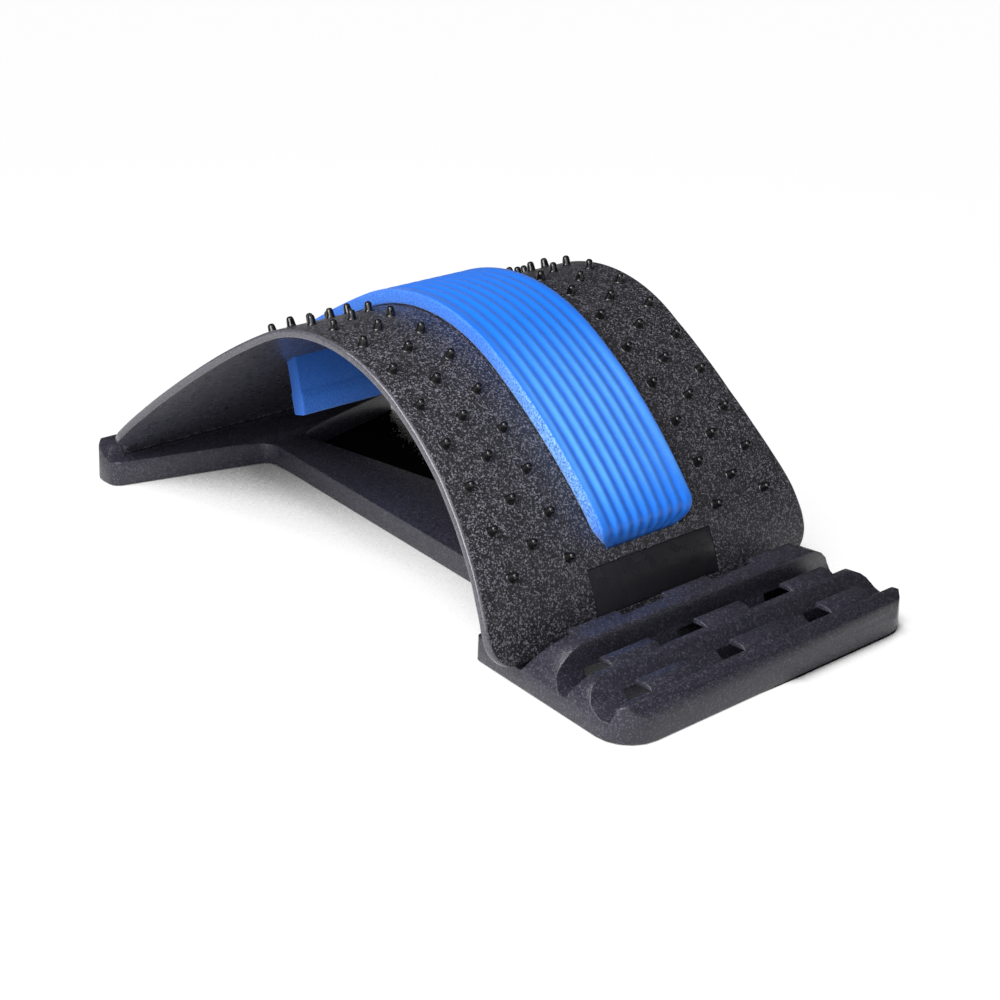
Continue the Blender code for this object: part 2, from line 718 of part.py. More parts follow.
def build_base(parts, tools):
    """Build the base: notched block, spine and hinge bar in one moulding."""
    base = plan_prism("base_frame", base_plan(), FLOOR, FLOOR + REAR_RIDGE_HEIGHT + CUT_MARGIN, parts)
    top = max(vertex.co.z for vertex in base.data.vertices)
    shrink = 1 - math.tan(DRAFT_ANGLE) * REAR_RIDGE_HEIGHT / BAR_HALF_WIDTH
    for vertex in base.data.vertices:
        if vertex.co.z > top - CUT_MARGIN / 2:
            vertex.co.x *= shrink
    side = side_prism("base_side", base_side(), BAR_HALF_WIDTH + CUT_MARGIN, 0.0, tools)
    combine(base, side, "INTERSECT")
    taper = (BLOCK_FRONT_HALF_WIDTH - BLOCK_REAR_HALF_WIDTH) / BLOCK_LENGTH
    crowns = (
        (-CUT_MARGIN, FRONT_NOTCH_SETBACK, FRONT_RIDGE_HEIGHT),
        (FRONT_NOTCH_SETBACK, MIDDLE_NOTCH_SETBACK, MIDDLE_RIDGE_HEIGHT),
        (MIDDLE_NOTCH_SETBACK, REAR_NOTCH_SETBACK, REAR_RIDGE_HEIGHT),
    )
    for start, end, height in crowns:
        foot = NOTCH_FLOOR_HEIGHT + RIDGE_END_RISE
        lean = math.tan(DRAFT_ANGLE) * foot
        round_end(base, (BLOCK_FRONT_HALF_WIDTH - taper * start - lean, FRONT + start),
                  (BLOCK_FRONT_HALF_WIDTH - taper * end - lean, FRONT + end),
                  FLOOR + height, height - foot, RIDGE_END_STRETCH, tools)
    bar_end = BAR_HALF_WIDTH - math.tan(DRAFT_ANGLE) * (BAR_RIM_HEIGHT - BAR_END_ROUND)
    round_end(base, (bar_end, REAR - BAR_END_LENGTH), (bar_end, REAR + CUT_MARGIN),
              FLOOR + BAR_RIM_HEIGHT, BAR_END_ROUND, 1.0, tools)
    ridges = (
        (FRONT_LIP_SETBACK, FRONT_LIP_LENGTH, FRONT_RIDGE_HEIGHT, FRONT_HOOD_RISE, FRONT_HOOD_REACH),
        (MIDDLE_RIDGE_SETBACK, MIDDLE_RIDGE_LENGTH, MIDDLE_RIDGE_HEIGHT, MIDDLE_HOOD_RISE,
         MIDDLE_HOOD_REACH),
        (REAR_RIDGE_SETBACK, REAR_RIDGE_LENGTH, REAR_RIDGE_HEIGHT, REAR_HOOD_RISE, REAR_HOOD_REACH),
    )
    hoods = []
    for setback, length, height, rise, reach in ridges:
        ridge_front = FRONT + setback
        outline = hood_outline(ridge_front, ridge_front + length, FLOOR + height, rise, reach)
        for place in hood_centres():
            hoods.append(side_prism("hood", outline, HOOD_WIDTH / 2, place, tools))
    combine(base, gather("hoods", hoods, tools), "UNION")

    soften(base, EDGE_ROUND, BASE_SHARP_ANGLE)

    channel_half = BAR_HALF_WIDTH - BAR_END_WALL
    groove = HINGE_BEAD_RADIUS + HINGE_GAP
    above = FLOOR + BAR_RIM_HEIGHT + CUT_MARGIN
    shelf = FLOOR + BAR_FRONT_HEIGHT
    channel = side_prism("hinge_channel", rounded([
        (REAR - BAR_END_LENGTH, shelf, 0),
        (HINGE_Y - groove, shelf, 0),
        (HINGE_Y - groove, HINGE_Z - groove, groove * GROOVE_ROUND_SHARE),
        (HINGE_Y + groove, HINGE_Z - groove, groove * GROOVE_ROUND_SHARE),
        (HINGE_Y + groove, HINGE_Z, 0),
        (REAR - BAR_RIM_THICKNESS, above, 0),
        (REAR - BAR_END_LENGTH, above, 0),
    ]), channel_half, 0.0, tools)
    combine(base, channel, "DIFFERENCE")
    socket_reach = channel_half + HINGE_PIN_LENGTH + HINGE_GAP
    for side_sign in (-1, 1):
        socket = cylinder("pin_socket", HINGE_PIN_RADIUS + HINGE_GAP,
                          (side_sign * (channel_half - CUT_MARGIN), HINGE_Y, HINGE_Z),
                          (side_sign * socket_reach, HINGE_Y, HINGE_Z), "X", HINGE_SIDES, tools)
        combine(base, socket, "DIFFERENCE")

    combine(base, build_cavity(tools), "DIFFERENCE")
    notches = (
        (FRONT_NOTCH_SETBACK, FRONT_TAB_SLOT_REAR, FRONT_TAB_SLOT_RISE),
        (MIDDLE_NOTCH_SETBACK, MIDDLE_TAB_SLOT_REAR, MIDDLE_TAB_SLOT_RISE),
        (REAR_NOTCH_SETBACK, REAR_TAB_SLOT_REAR, REAR_TAB_SLOT_RISE),
    )
    slots = []
    for setback, reach, rise in notches:
        centre_y = FRONT + setback
        for place in hood_centres():
            slots.append(box(
                "tab_slot",
                (place - TAB_SLOT_WIDTH / 2, centre_y - TAB_SLOT_FRONT, FLOOR - CUT_MARGIN),
                (place + TAB_SLOT_WIDTH / 2, centre_y + reach, FLOOR + NOTCH_FLOOR_HEIGHT + rise),
                tools))
    combine(base, gather("tab_slots", slots, tools), "DIFFERENCE")
    for name, x, y in foot_places():
        recess = cylinder(f"{name}_recess", FOOT_RADIUS + FIT_GAP, (x, y, FLOOR - CUT_MARGIN),
                          (x, y, FOOT_THICKNESS + FIT_GAP), "Z", FOOT_SIDES, tools)
        combine(base, recess, "DIFFERENCE")
    shade(base)
    return base


def build_feet(parts, material):
    """Build the four anti-slip feet, which stand a little proud of the base's underside."""
    for name, x, y in foot_places():
        foot = cylinder(name, FOOT_RADIUS, (x, y, 0), (x, y, FOOT_THICKNESS), "Z", FOOT_SIDES, parts)
        foot.data.materials.append(material)
        shade(foot)


def plate_surface(parts):
    """Return the plate's top surface as an open sheet, one strip wide."""
    front_start = ARCH_LENGTH - PLATE_FRONT_CORNER
    stations = [ARCH_SCALE * place for place, inset in PLATE_INSETS[:PLATE_REAR_STATIONS]]
    stations += arch_stations(stations[-1], front_start)[1:]
    for index in range(1, CORNER_ROWS + 1):
        stations.append(front_start + PLATE_FRONT_CORNER * math.sin(math.pi / 2 * index / CORNER_ROWS))
    bm = bmesh.new()
    rows = []
    for distance in stations:
        y, z, slope = arch_at(distance)
        half = plate_half_width(distance)
        rows.append((bm.verts.new((-half, y, z)), bm.verts.new((half, y, z))))
    for (left, right), (next_left, next_right) in zip(rows, rows[1:]):
        bm.faces.new((left, next_left, next_right, right))
    mesh = bpy.data.meshes.new("arch_plate")
    bm.to_mesh(mesh)
    bm.free()
    return add_object("arch_plate", mesh, parts)


def nub_places():
    """Return the X and arc length of every nub."""
    rows = [CREST - NUB_REAR_PITCH * row for row in range(NUB_REAR_ROWS, 0, -1)]
    rows += [CREST + NUB_FRONT_PITCH * row for row in range(NUB_FRONT_ROWS + 1)]
    rows = [ARCH_SCALE * row for row in rows]
    between = [(row + following) / 2 for row, following in zip(rows, rows[1:])]
    inner = PAD_HALF_WIDTH + NUB_PAD_GAP
    outer = BAR_HALF_WIDTH - NUB_EDGE_INSET
    middle = inner + NUB_MIDDLE_SHARE * (outer - inner)
    places = []
    for x, distances in ((inner, rows), (middle, between), (outer, rows)):
        for distance in distances:
            places += [(-x, distance), (x, distance)]
    return places


def build_nubs(tools):
    """Build every nub as a cone with a rounded tip, standing square to the plate."""
    bm = bmesh.new()
    rings = (
        (-NUB_SINK, NUB_BASE_RADIUS),
        (NUB_SHOULDER_HEIGHT, NUB_SHOULDER_RADIUS),
        (NUB_HEIGHT, NUB_TIP_RADIUS),
    )
    for x, distance in nub_places():
        circles = []
        for height, radius in rings:
            circle = []
            for side in range(NUB_SIDES):
                angle = 2 * math.pi * (side + 0.5) / NUB_SIDES
                y, z, slope = arch_at(distance, height)
                along = radius * math.sin(angle)
                spot = (x + radius * math.cos(angle),
                        y - along * math.cos(slope), z - along * math.sin(slope))
                circle.append(bm.verts.new(spot))
            circles.append(circle)
        bm.faces.new(circles[0])
        bm.faces.new(list(reversed(circles[-1])))
        for lower, upper in zip(circles, circles[1:]):
            for side in range(NUB_SIDES):
                after = (side + 1) % NUB_SIDES
                bm.faces.new((lower[side], upper[side], upper[after], lower[after]))
    return add_bmesh("nubs", bm, tools)


def tail_direction(lean):
    """Return the direction in which a tail hangs, leaning towards the front."""
    return Vector((-math.sin(lean), -math.cos(lean)))


def slot_outline(place, lean):
    """Return the side outline of the slot through which the pad leaves the plate."""
    y, z, slope = arch_at(ARCH_SCALE * place, FIT_GAP + PAD_THICKNESS / 2)
    centre = Vector((y, z))
    along = tail_direction(lean)
    across = Vector((-along.y, along.x)) * (PAD_THICKNESS / 2 + SLOT_GAP)
    start = centre - along * SLOT_RUN_IN
    end = centre + along * SLOT_RUN_OUT
    return [tuple(start + across), tuple(end + across), tuple(end - across), tuple(start - across)]


def build_plate(parts, tools):
    """Build the arch plate with its nubs, pad slots, label recess, hinge bead and front tabs."""
    plate = plate_surface(parts)
    shell = plate.modifiers.new("thickness", "SOLIDIFY")
    shell.thickness = PLATE_THICKNESS
    shell.offset = -1.0
    shell.use_even_offset = True
    freeze(plate)
    soften(plate, PLATE_EDGE_ROUND, PANEL_SHARP_ANGLE)

    channel_half = BAR_HALF_WIDTH - BAR_END_WALL
    bead_half = channel_half - HINGE_GAP
    bead = cylinder("hinge_bead", HINGE_BEAD_RADIUS, (-bead_half, HINGE_Y, HINGE_Z),
                    (bead_half, HINGE_Y, HINGE_Z), "X", HINGE_SIDES, tools)
    combine(plate, bead, "UNION")
    pin_reach = channel_half + HINGE_PIN_LENGTH
    pins = cylinder("hinge_pins", HINGE_PIN_RADIUS, (-pin_reach, HINGE_Y, HINGE_Z),
                    (pin_reach, HINGE_Y, HINGE_Z), "X", HINGE_SIDES, tools)
    combine(plate, pins, "UNION")

    for place in hood_centres():
        stations = (ARCH_LENGTH - PLATE_TAB_ROOT, ARCH_LENGTH + PLATE_TAB_LENGTH)
        inset = PLATE_TAB_INSET
        top = [arch_at(distance, -inset)[:2] for distance in stations]
        bottom = [arch_at(distance, inset - PLATE_THICKNESS)[:2] for distance in reversed(stations)]
        tab = side_prism("tab", top + bottom, PLATE_TAB_WIDTH / 2, place, tools)
        combine(plate, tab, "UNION")

    slot_half = PAD_HALF_WIDTH + SLOT_GAP
    for name, place, lean in (("rear_slot", PAD_REAR_SLOT, PAD_REAR_TAIL_LEAN),
                              ("front_slot", PAD_FRONT_SLOT, PAD_FRONT_TAIL_LEAN)):
        slot = side_prism(name, slot_outline(place, lean), slot_half, 0.0, tools)
        combine(plate, slot, "DIFFERENCE")
    start = ARCH_LENGTH - LABEL_SETBACK
    recess = arch_band("label_recess", start, start + LABEL_LENGTH, -LABEL_RECESS,
                       CUT_MARGIN, LABEL_HALF_WIDTH, tools)
    combine(plate, recess, "DIFFERENCE")
    combine(plate, build_nubs(tools), "UNION")
    shade(plate)
    return plate


def build_label(parts):
    """Build the bare label plate that lies in the recess below the pad."""
    gap = FIT_GAP
    start = ARCH_LENGTH - LABEL_SETBACK
    label = arch_band("label_plate", start + gap, start + LABEL_LENGTH - gap,
                      gap - LABEL_RECESS, gap - LABEL_RECESS + LABEL_THICKNESS,
                      LABEL_HALF_WIDTH - gap, parts)
    shade(label)
    return label


def fillet_path(points, radius, steps):
    """Return an open path whose first and last inner corners are rounded."""
    path = [points[0]]
    for index in range(1, len(points) - 1):
        before, here, after = points[index - 1], points[index], points[index + 1]
        back = (before - here).normalized()
        ahead = (after - here).normalized()
        half = back.angle(ahead) / 2
        if half > STRAIGHT_HALF_ANGLE:
            path.append(here)
            continue
        reach = radius / math.tan(half)
        start = here + back * reach
        end = here + ahead * reach
        for step in range(steps + 1):
            share = step / steps
            near = start.lerp(here, share)
            far = here.lerp(end, share)
            path.append(near.lerp(far, share))
    return path + [points[-1]]


def pad_outline():
    """Return the side outline of the pad: its run over the plate, two turns, two hemmed tails."""
    half = PAD_THICKNESS / 2
    lift = FIT_GAP + half
    run = [Vector(arch_at(distance, lift)[:2])
           for distance in arch_stations(ARCH_SCALE * PAD_REAR_SLOT, ARCH_SCALE * PAD_FRONT_SLOT)]
    inner = [spot for spot in run[1:-1]
             if min((spot - run[0]).length, (spot - run[-1]).length) > 2 * PAD_TURN_RADIUS]
    run = [run[0]] + inner + [run[-1]]
    rear = tail_direction(PAD_REAR_TAIL_LEAN)
    front = tail_direction(PAD_FRONT_TAIL_LEAN)
    path = [run[0] + rear * PAD_REAR_TAIL] + run + [run[-1] + front * PAD_FRONT_TAIL]
    path = fillet_path(path, PAD_TURN_RADIUS, PAD_TURN_STEPS)
    rear_hem = path[0] - rear * PAD_HEM_LENGTH
    front_hem = path[-1] - front * PAD_HEM_LENGTH
    path = [path[0], rear_hem, rear_hem] + path[1:-1] + [front_hem, front_hem, path[-1]]
    widths = [PAD_HEM_THICKNESS / 2] * 2 + [half] * (len(path) - 4) + [PAD_HEM_THICKNESS / 2] * 2
    left, right = [], []
    for index, (spot, width) in enumerate(zip(path, widths)):
        ahead = next((p - spot for p in path[index + 1:] if (p - spot).length > TINY), None)
        behind = next((spot - p for p in reversed(path[:index]) if (spot - p).length > TINY), None)
        tangent = ((ahead or behind).normalized() + (behind or ahead).normalized()).normalized()
        across = Vector((-tangent.y, tangent.x)) * width
        left.append(tuple(spot + across))
        right.append(tuple(spot - across))
    return left + list(reversed(right))


def build_pad(parts):
    """Build the foam pad as one solid."""
    pad = side_prism("lumbar_pad", pad_outline(), PAD_HALF_WIDTH, 0.0, parts)
    soften(pad, PAD_EDGE_ROUND, PANEL_SHARP_ANGLE)
    shade(pad)
    return pad


def main():
    """Build every part of the stretcher."""
    clear_scene()
    parts = make_collection("lumbar_back_stretcher")
    tools = make_collection("cutters")
    base_plastic = make_material("base_polypropylene", BASE_COLOUR, BASE_ROUGHNESS)
    plate_plastic = make_material("plate_abs_grained", PLATE_COLOUR, PLATE_ROUGHNESS)
    foam = make_material("pad_eva_blue", FOAM_COLOUR, FOAM_ROUGHNESS)
    label_plastic = make_material("label_smooth", LABEL_COLOUR, LABEL_ROUGHNESS)
    rubber = make_material("foot_rubber", RUBBER_COLOUR, RUBBER_ROUGHNESS)

    build_base(parts, tools).data.materials.append(base_plastic)
    build_plate(parts, tools).data.materials.append(plate_plastic)
    build_pad(parts).data.materials.append(foam)
    build_label(parts).data.materials.append(label_plastic)
    build_feet(parts, rubber)
    for tool in tools.objects:
        as_cutter(tool)


main()
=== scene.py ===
"""Dress the lumbar back stretcher for its picture.

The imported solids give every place. The arch plate, its nubs, the foam pad, the label plate, the base
and the feet are drawn again on top of them with finer curves, rounded edges and moulded finishes.
Lengths are in metres, +Z is up, -Y is the notched end and +Y is the hinge bar.
"""

from __future__ import annotations

import logging
import math
from collections.abc import Callable, Sequence
from dataclasses import dataclass, field
from enum import Enum

import bmesh
import bpy
from mathutils import Matrix, Vector

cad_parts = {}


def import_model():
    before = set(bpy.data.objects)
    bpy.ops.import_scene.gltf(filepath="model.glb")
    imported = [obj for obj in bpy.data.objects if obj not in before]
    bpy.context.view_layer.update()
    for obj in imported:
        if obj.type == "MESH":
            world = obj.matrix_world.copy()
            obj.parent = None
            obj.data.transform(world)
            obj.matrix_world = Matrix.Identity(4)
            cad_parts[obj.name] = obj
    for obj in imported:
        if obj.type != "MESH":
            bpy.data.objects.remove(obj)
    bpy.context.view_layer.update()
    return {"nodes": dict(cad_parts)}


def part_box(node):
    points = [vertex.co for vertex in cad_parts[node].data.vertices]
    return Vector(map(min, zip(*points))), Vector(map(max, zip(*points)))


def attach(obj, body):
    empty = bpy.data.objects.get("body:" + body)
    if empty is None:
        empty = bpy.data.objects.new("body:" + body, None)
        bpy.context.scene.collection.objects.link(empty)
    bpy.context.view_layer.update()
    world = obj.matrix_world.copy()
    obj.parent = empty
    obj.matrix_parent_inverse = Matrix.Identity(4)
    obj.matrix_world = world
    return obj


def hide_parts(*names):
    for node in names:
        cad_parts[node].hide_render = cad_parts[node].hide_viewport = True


MM = 0.001
Outline = list[tuple[float, float]]
Section = list[tuple[float, float, int]]

# A noise texture's values lie mostly between these two.
NOISE_LOW = 0.36
NOISE_HIGH = 0.64
# An edge where two faces turn by more than this is rounded, with so many faces across.
SHARP_EDGE = math.radians(60)
EDGE_FACES = 2

log = logging.getLogger("stretcher")


class Body(Enum):
    """Rigid bodies of the stretcher that a piece can ride on."""

    BASE = "base"
    ARCH = "arch"


class Slot(Enum):
    """Names of the material slots."""

    BASE = "base_plastic"
    PLATE = "plate_plastic"
    FOAM = "foam"
    LABEL = "label_plastic"
    RUBBER = "foot_rubber"


def linear(colour: str) -> tuple[float, float, float, float]:
    """Turn an sRGB hex colour into linear values.

    Args:
        colour: colour such as "#3A3A42".

    Returns:
        Red, green, blue and full opacity.
    """
    values = []
    for start in (1, 3, 5):
        part = int(colour[start:start + 2], 16) / 255
        values.append(part / 12.92 if part <= 0.04045 else ((part + 0.055) / 1.055) ** 2.4)
    return values[0], values[1], values[2], 1.0


def add_node(tree: bpy.types.NodeTree, kind: str, settings: dict[str, object] | None = None,
             inputs: dict[str | int, object] | None = None) -> bpy.types.Node:
    """Add a node with its settings and links.

    Args:
        tree: node tree that the node goes into.
        kind: type of the node.
        settings: options of the node by name.
        inputs: value, or output socket to link, for each input by name or place.

    Returns:
        The new node.
    """
    node = tree.nodes.new(kind)
    for name, value in (settings or {}).items():
        setattr(node, name, value)
    for key, value in (inputs or {}).items():
        if isinstance(value, bpy.types.NodeSocket):
            tree.links.new(value, node.inputs[key])
        else:
            node.inputs[key].default_value = value
    return node


def new_material(name: str) -> tuple[bpy.types.Material, bpy.types.NodeTree, bpy.types.Node]:
    """Make a material with only an output and a Principled shader.

    Args:
        name: what the finish is.

    Returns:
        The material, its node tree and the shader.
    """
    material = bpy.data.materials.new(name)
    material.use_nodes = True
    tree = material.node_tree
    tree.nodes.clear()
    shader = add_node(tree, "ShaderNodeBsdfPrincipled")
    add_node(tree, "ShaderNodeOutputMaterial", inputs={"Surface": shader.outputs["BSDF"]})
    return material, tree, shader


@dataclass(frozen=True)
class MouldedPlastic:
    """Moulded plastic with a pebbled grain that the mould's wall leaves in its skin.

    Polypropylene and ABS have an IOR near 1.49 to 1.53. The colour follows the grain's height, darker
    in its pits and lighter on its crests, and a share of the pebbles is painted pale as painted
    highlights.

    Attributes:
        name: common name of the plastic and how its surface was made.
        light: colour of the grain's crests.
        dark: colour of the grain's pits.
        roughness: mean roughness, from which the pebbles depart by gloss_spread either way.
        ior: index of refraction.
        grain_size: width of a pebble.
        grain_depth: height of a pebble.
        grain_strength: how strongly the grain bends the light.
        edge_round: radius that sharp edges are shaded with.
        painted_glint: painted highlight colour given to a share of the pebbles, as glints.
        painted_glint_share: share of the pebbles that get it.
    """

    name: str
    light: str
    dark: str
    roughness: float
    ior: float
    grain_size: float
    grain_depth: float
    grain_strength: float
    edge_round: float
    painted_glint: str = "#3A393D"
    painted_glint_share: float = 0.0
    gloss_spread: float = 0.08
    edge_samples: int = 6

    def build(self) -> bpy.types.Material:
        """Build the finish.

        Returns:
            The material.
        """
        material, tree, shader = new_material(self.name)
        place = add_node(tree, "ShaderNodeTexCoord").outputs["Object"]
        grain = add_node(tree, "ShaderNodeTexNoise", inputs={
            "Vector": place, "Scale": 1 / self.grain_size, "Detail": 2.0, "Roughness": 0.55})
        pebbles = add_node(tree, "ShaderNodeTexVoronoi", inputs={
            "Vector": place, "Scale": 1 / self.grain_size})
        # Each pebble's random values choose its painted glint and its roughness.
        lean = add_node(tree, "ShaderNodeSeparateColor", inputs={"Color": pebbles.outputs["Color"]})
        share = add_node(tree, "ShaderNodeMapRange", inputs={
            "Value": grain.outputs["Fac"], "From Min": NOISE_LOW, "From Max": NOISE_HIGH})
        # Painted highlights: a share of the pebbles takes the glint colour.
        # The upper end is above 1, so that a share of 0 still leaves a range.
        painted_glints = add_node(tree, "ShaderNodeMapRange", inputs={
            "Value": lean.outputs["Red"], "From Min": 1 - self.painted_glint_share, "From Max": 1.01})
        tone = add_node(tree, "ShaderNodeMix", {"data_type": "RGBA"}, {
            0: share.outputs["Result"], 6: linear(self.dark), 7: linear(self.light)})
        skin = add_node(tree, "ShaderNodeMix", {"data_type": "RGBA"}, {
            0: painted_glints.outputs["Result"], 6: tone.outputs[2], 7: linear(self.painted_glint)})
        gloss = add_node(tree, "ShaderNodeMapRange", inputs={
            "Value": lean.outputs["Green"], "To Min": self.roughness + self.gloss_spread,
            "To Max": self.roughness - self.gloss_spread})
        edge = add_node(tree, "ShaderNodeBevel", {"samples": self.edge_samples}, {
            "Radius": self.edge_round})
        bump = add_node(tree, "ShaderNodeBump", inputs={
            "Strength": self.grain_strength, "Distance": self.grain_depth,
            "Height": grain.outputs["Fac"], "Normal": edge.outputs["Normal"]})
        tree.links.new(skin.outputs[2], shader.inputs["Base Color"])
        tree.links.new(gloss.outputs["Result"], shader.inputs["Roughness"])
        tree.links.new(bump.outputs["Normal"], shader.inputs["Normal"])
        shader.inputs["IOR"].default_value = self.ior
        return material


@dataclass(frozen=True)
class EvaFoam:
    """Closed-cell EVA foam: an even moulded skin, with open cells where it is cut.

    Between the ribs the colour is darker, as painted shade. The crest, all that lies behind it and
    the front end, where the pad goes down through the plate, are painted darker as shade, so the
    front bend looks paler. The tail below the plate is painted darkest, as its shade.

    Attributes:
        name: common name of the foam and how its surface was made.
        light: colour of the ribs' crests and of cell walls.
        dark: colour in the cells, and between the ribs as painted shade.
        roughness: roughness of the skin.
        cell_size: width of a cell, or of a patch of the closed skin.
        cell_depth: depth of a cell.
        cell_share: how much of the dark colour the cells show.
        rib_shade_share: how much of the dark colour is painted between the ribs as shade.
        pad_shade_colour: painted shade colour from the crest back and at the front end, where the pad
            goes down.
        pad_shade_share: how far the colour turns to that painted shade.
        sheen: soft light off the skin at a flat angle.
        crest_shade_ramp: Y from which the painted shade starts towards the crest, and where it is full.
        front_shade_ramp: Y at the front end where the painted shade is full, and where it has faded.
        tail_shade_colour: painted shade colour of the tail below the plate.
        tail: Y from which the colour turns to the tail's painted shade, and where it has.
    """

    name: str
    light: str
    dark: str
    roughness: float
    cell_size: float
    cell_depth: float
    cell_share: float
    rib_shade_share: float
    pad_shade_colour: str
    pad_shade_share: float
    sheen: float = 0.2
    crest_shade_ramp: tuple[float, float] = (-85 * MM, -35 * MM)
    front_shade_ramp: tuple[float, float] = (-124 * MM, -104 * MM)
    tail_shade_colour: str = "#0450A6"
    tail: tuple[float, float] = (90 * MM, 104 * MM)
    ior: float = 1.45
    bump_strength: float = 0.6

    def build(self) -> bpy.types.Material:
        """Build the finish.

        Returns:
            The material.
        """
        material, tree, shader = new_material(self.name)
        place = add_node(tree, "ShaderNodeTexCoord").outputs["Object"]
        cells = add_node(tree, "ShaderNodeTexNoise", inputs={
            "Vector": place, "Scale": 1 / self.cell_size, "Detail": 3.0, "Roughness": 0.65})
        # Painted shade between the ribs comes from a wave texture's bands.
        # A wave texture's bands are 2 pi / 20 wide at a scale of 1, and start dark in the middle.
        bands = add_node(tree, "ShaderNodeTexWave", {"bands_direction": "X"}, {
            "Vector": place, "Scale": math.pi / 10 / RIB_PITCH})
        spots = add_node(tree, "ShaderNodeMapRange", inputs={
            "Value": cells.outputs["Fac"], "From Min": NOISE_LOW, "From Max": NOISE_HIGH,
            "To Max": self.cell_share})
        share = add_node(tree, "ShaderNodeMath", {"operation": "MULTIPLY_ADD"}, {
            0: bands.outputs["Fac"], 1: self.rib_shade_share, 2: spots.outputs["Result"]})
        tone = add_node(tree, "ShaderNodeMix", {"data_type": "RGBA"}, {
            0: share.outputs["Value"], 6: linear(self.light), 7: linear(self.dark)})
        along = add_node(tree, "ShaderNodeSeparateXYZ", inputs={"Vector": place})
        # Painted shade from the crest back and at the front end where the pad goes down.
        behind = add_node(tree, "ShaderNodeMapRange", {"interpolation_type": "SMOOTHSTEP"}, {
            "Value": along.outputs["Y"], "From Min": self.crest_shade_ramp[0], "From Max": self.crest_shade_ramp[1],
            "To Max": self.pad_shade_share})
        turned = add_node(tree, "ShaderNodeMapRange", {"interpolation_type": "SMOOTHSTEP"}, {
            "Value": along.outputs["Y"], "From Min": self.front_shade_ramp[0], "From Max": self.front_shade_ramp[1],
            "To Min": self.pad_shade_share, "To Max": 0.0})
        deeper = add_node(tree, "ShaderNodeMath", {"operation": "MAXIMUM"}, {
            0: behind.outputs["Result"], 1: turned.outputs["Result"]})
        skin = add_node(tree, "ShaderNodeMix", {"data_type": "RGBA"}, {
            0: deeper.outputs["Value"], 6: tone.outputs[2], 7: linear(self.pad_shade_colour)})
        # The tail below the plate is painted darkest, as its shade.
        below = add_node(tree, "ShaderNodeMapRange", {"interpolation_type": "SMOOTHSTEP"}, {
            "Value": along.outputs["Y"], "From Min": self.tail[0], "From Max": self.tail[1]})
        hue = add_node(tree, "ShaderNodeMix", {"data_type": "RGBA"}, {
            0: below.outputs["Result"], 6: skin.outputs[2], 7: linear(self.tail_shade_colour)})
        bump = add_node(tree, "ShaderNodeBump", inputs={
            "Strength": self.bump_strength, "Distance": self.cell_depth, "Height": cells.outputs["Fac"]})
        tree.links.new(hue.outputs[2], shader.inputs["Base Color"])
        tree.links.new(bump.outputs["Normal"], shader.inputs["Normal"])
        shader.inputs["Roughness"].default_value = self.roughness
        shader.inputs["IOR"].default_value = self.ior
        shader.inputs["Sheen Weight"].default_value = self.sheen
        return material


RIB_PITCH = 6.65 * MM

# ABS from a spark-eroded mould: a pebbled grain about 0.4 mm across, drawn at 0.6 mm so that it shows.
# The pale sparks in its colour are painted highlights on the pebbles.
PLATE_SKIN = MouldedPlastic(
    "moulded_abs_grained", "#2E2D32", "#0E0D10", roughness=0.42, ior=1.53, grain_size=0.6 * MM,
    grain_depth=0.3 * MM, grain_strength=0.8, edge_round=0.25 * MM, painted_glint="#7A7882", painted_glint_share=0.36)
# The rounded rim is smoother than the grained top, and its paler colour is a painted highlight along the
# plate's edges.
PLATE_RIM_PAINTED_HIGHLIGHT = MouldedPlastic(
    "moulded_abs_rim_painted_highlight", "#56555C", "#3E3D44", roughness=0.22, ior=1.53, grain_size=0.8 * MM,
    grain_depth=0.03 * MM, grain_strength=0.2, edge_round=0.2 * MM)
# The plate's underside comes off the mould's polished half, so it has next to no grain.
# Its colour is paler than the top's, a painted reflection of the white floor.
PLATE_UNDERSIDE_PAINTED_REFLECTION = MouldedPlastic(
    "moulded_abs_underside_painted_reflection", "#4C4B56", "#3A3943", roughness=0.34, ior=1.53, grain_size=2.5 * MM,
    grain_depth=0.1 * MM, grain_strength=0.15, edge_round=0.25 * MM)
# Nubs are polished pockets in the mould, so they are glossy and show a small white glint.
NUB_SKIN = MouldedPlastic(
    "moulded_abs_polished", "#0B0A0C", "#080709", roughness=0.16, ior=1.53, grain_size=3 * MM,
    grain_depth=0.05 * MM, grain_strength=0.1, edge_round=0.2 * MM)
# Polypropylene with a very fine matt grain, about 0.4 mm across, drawn at 0.6 mm so that it shows.
# The pale sparks in its colour are painted highlights on the pebbles.
BASE_SKIN = MouldedPlastic(
    "moulded_polypropylene_satin", "#302F39", "#1F1E26", roughness=0.34, ior=1.49,
    grain_size=0.6 * MM, grain_depth=0.1 * MM, grain_strength=0.4, edge_round=0.8 * MM,
    painted_glint="#4A4956", painted_glint_share=0.3)
# Smooth black film: no grain that the eye can see.
LABEL_FILM = MouldedPlastic(
    "smooth_black_film", "#232226", "#212024", roughness=0.3, ior=1.5, grain_size=6 * MM,
    grain_depth=0.02 * MM, grain_strength=0.1, edge_round=0.15 * MM)
# Rubber feet: matt black, with a fine moulded grain.
FOOT_RUBBER = MouldedPlastic(
    "moulded_rubber_matt", "#1B1B1C", "#121213", roughness=0.8, ior=1.52, grain_size=0.8 * MM,
    grain_depth=0.1 * MM, grain_strength=0.4, edge_round=0.3 * MM)
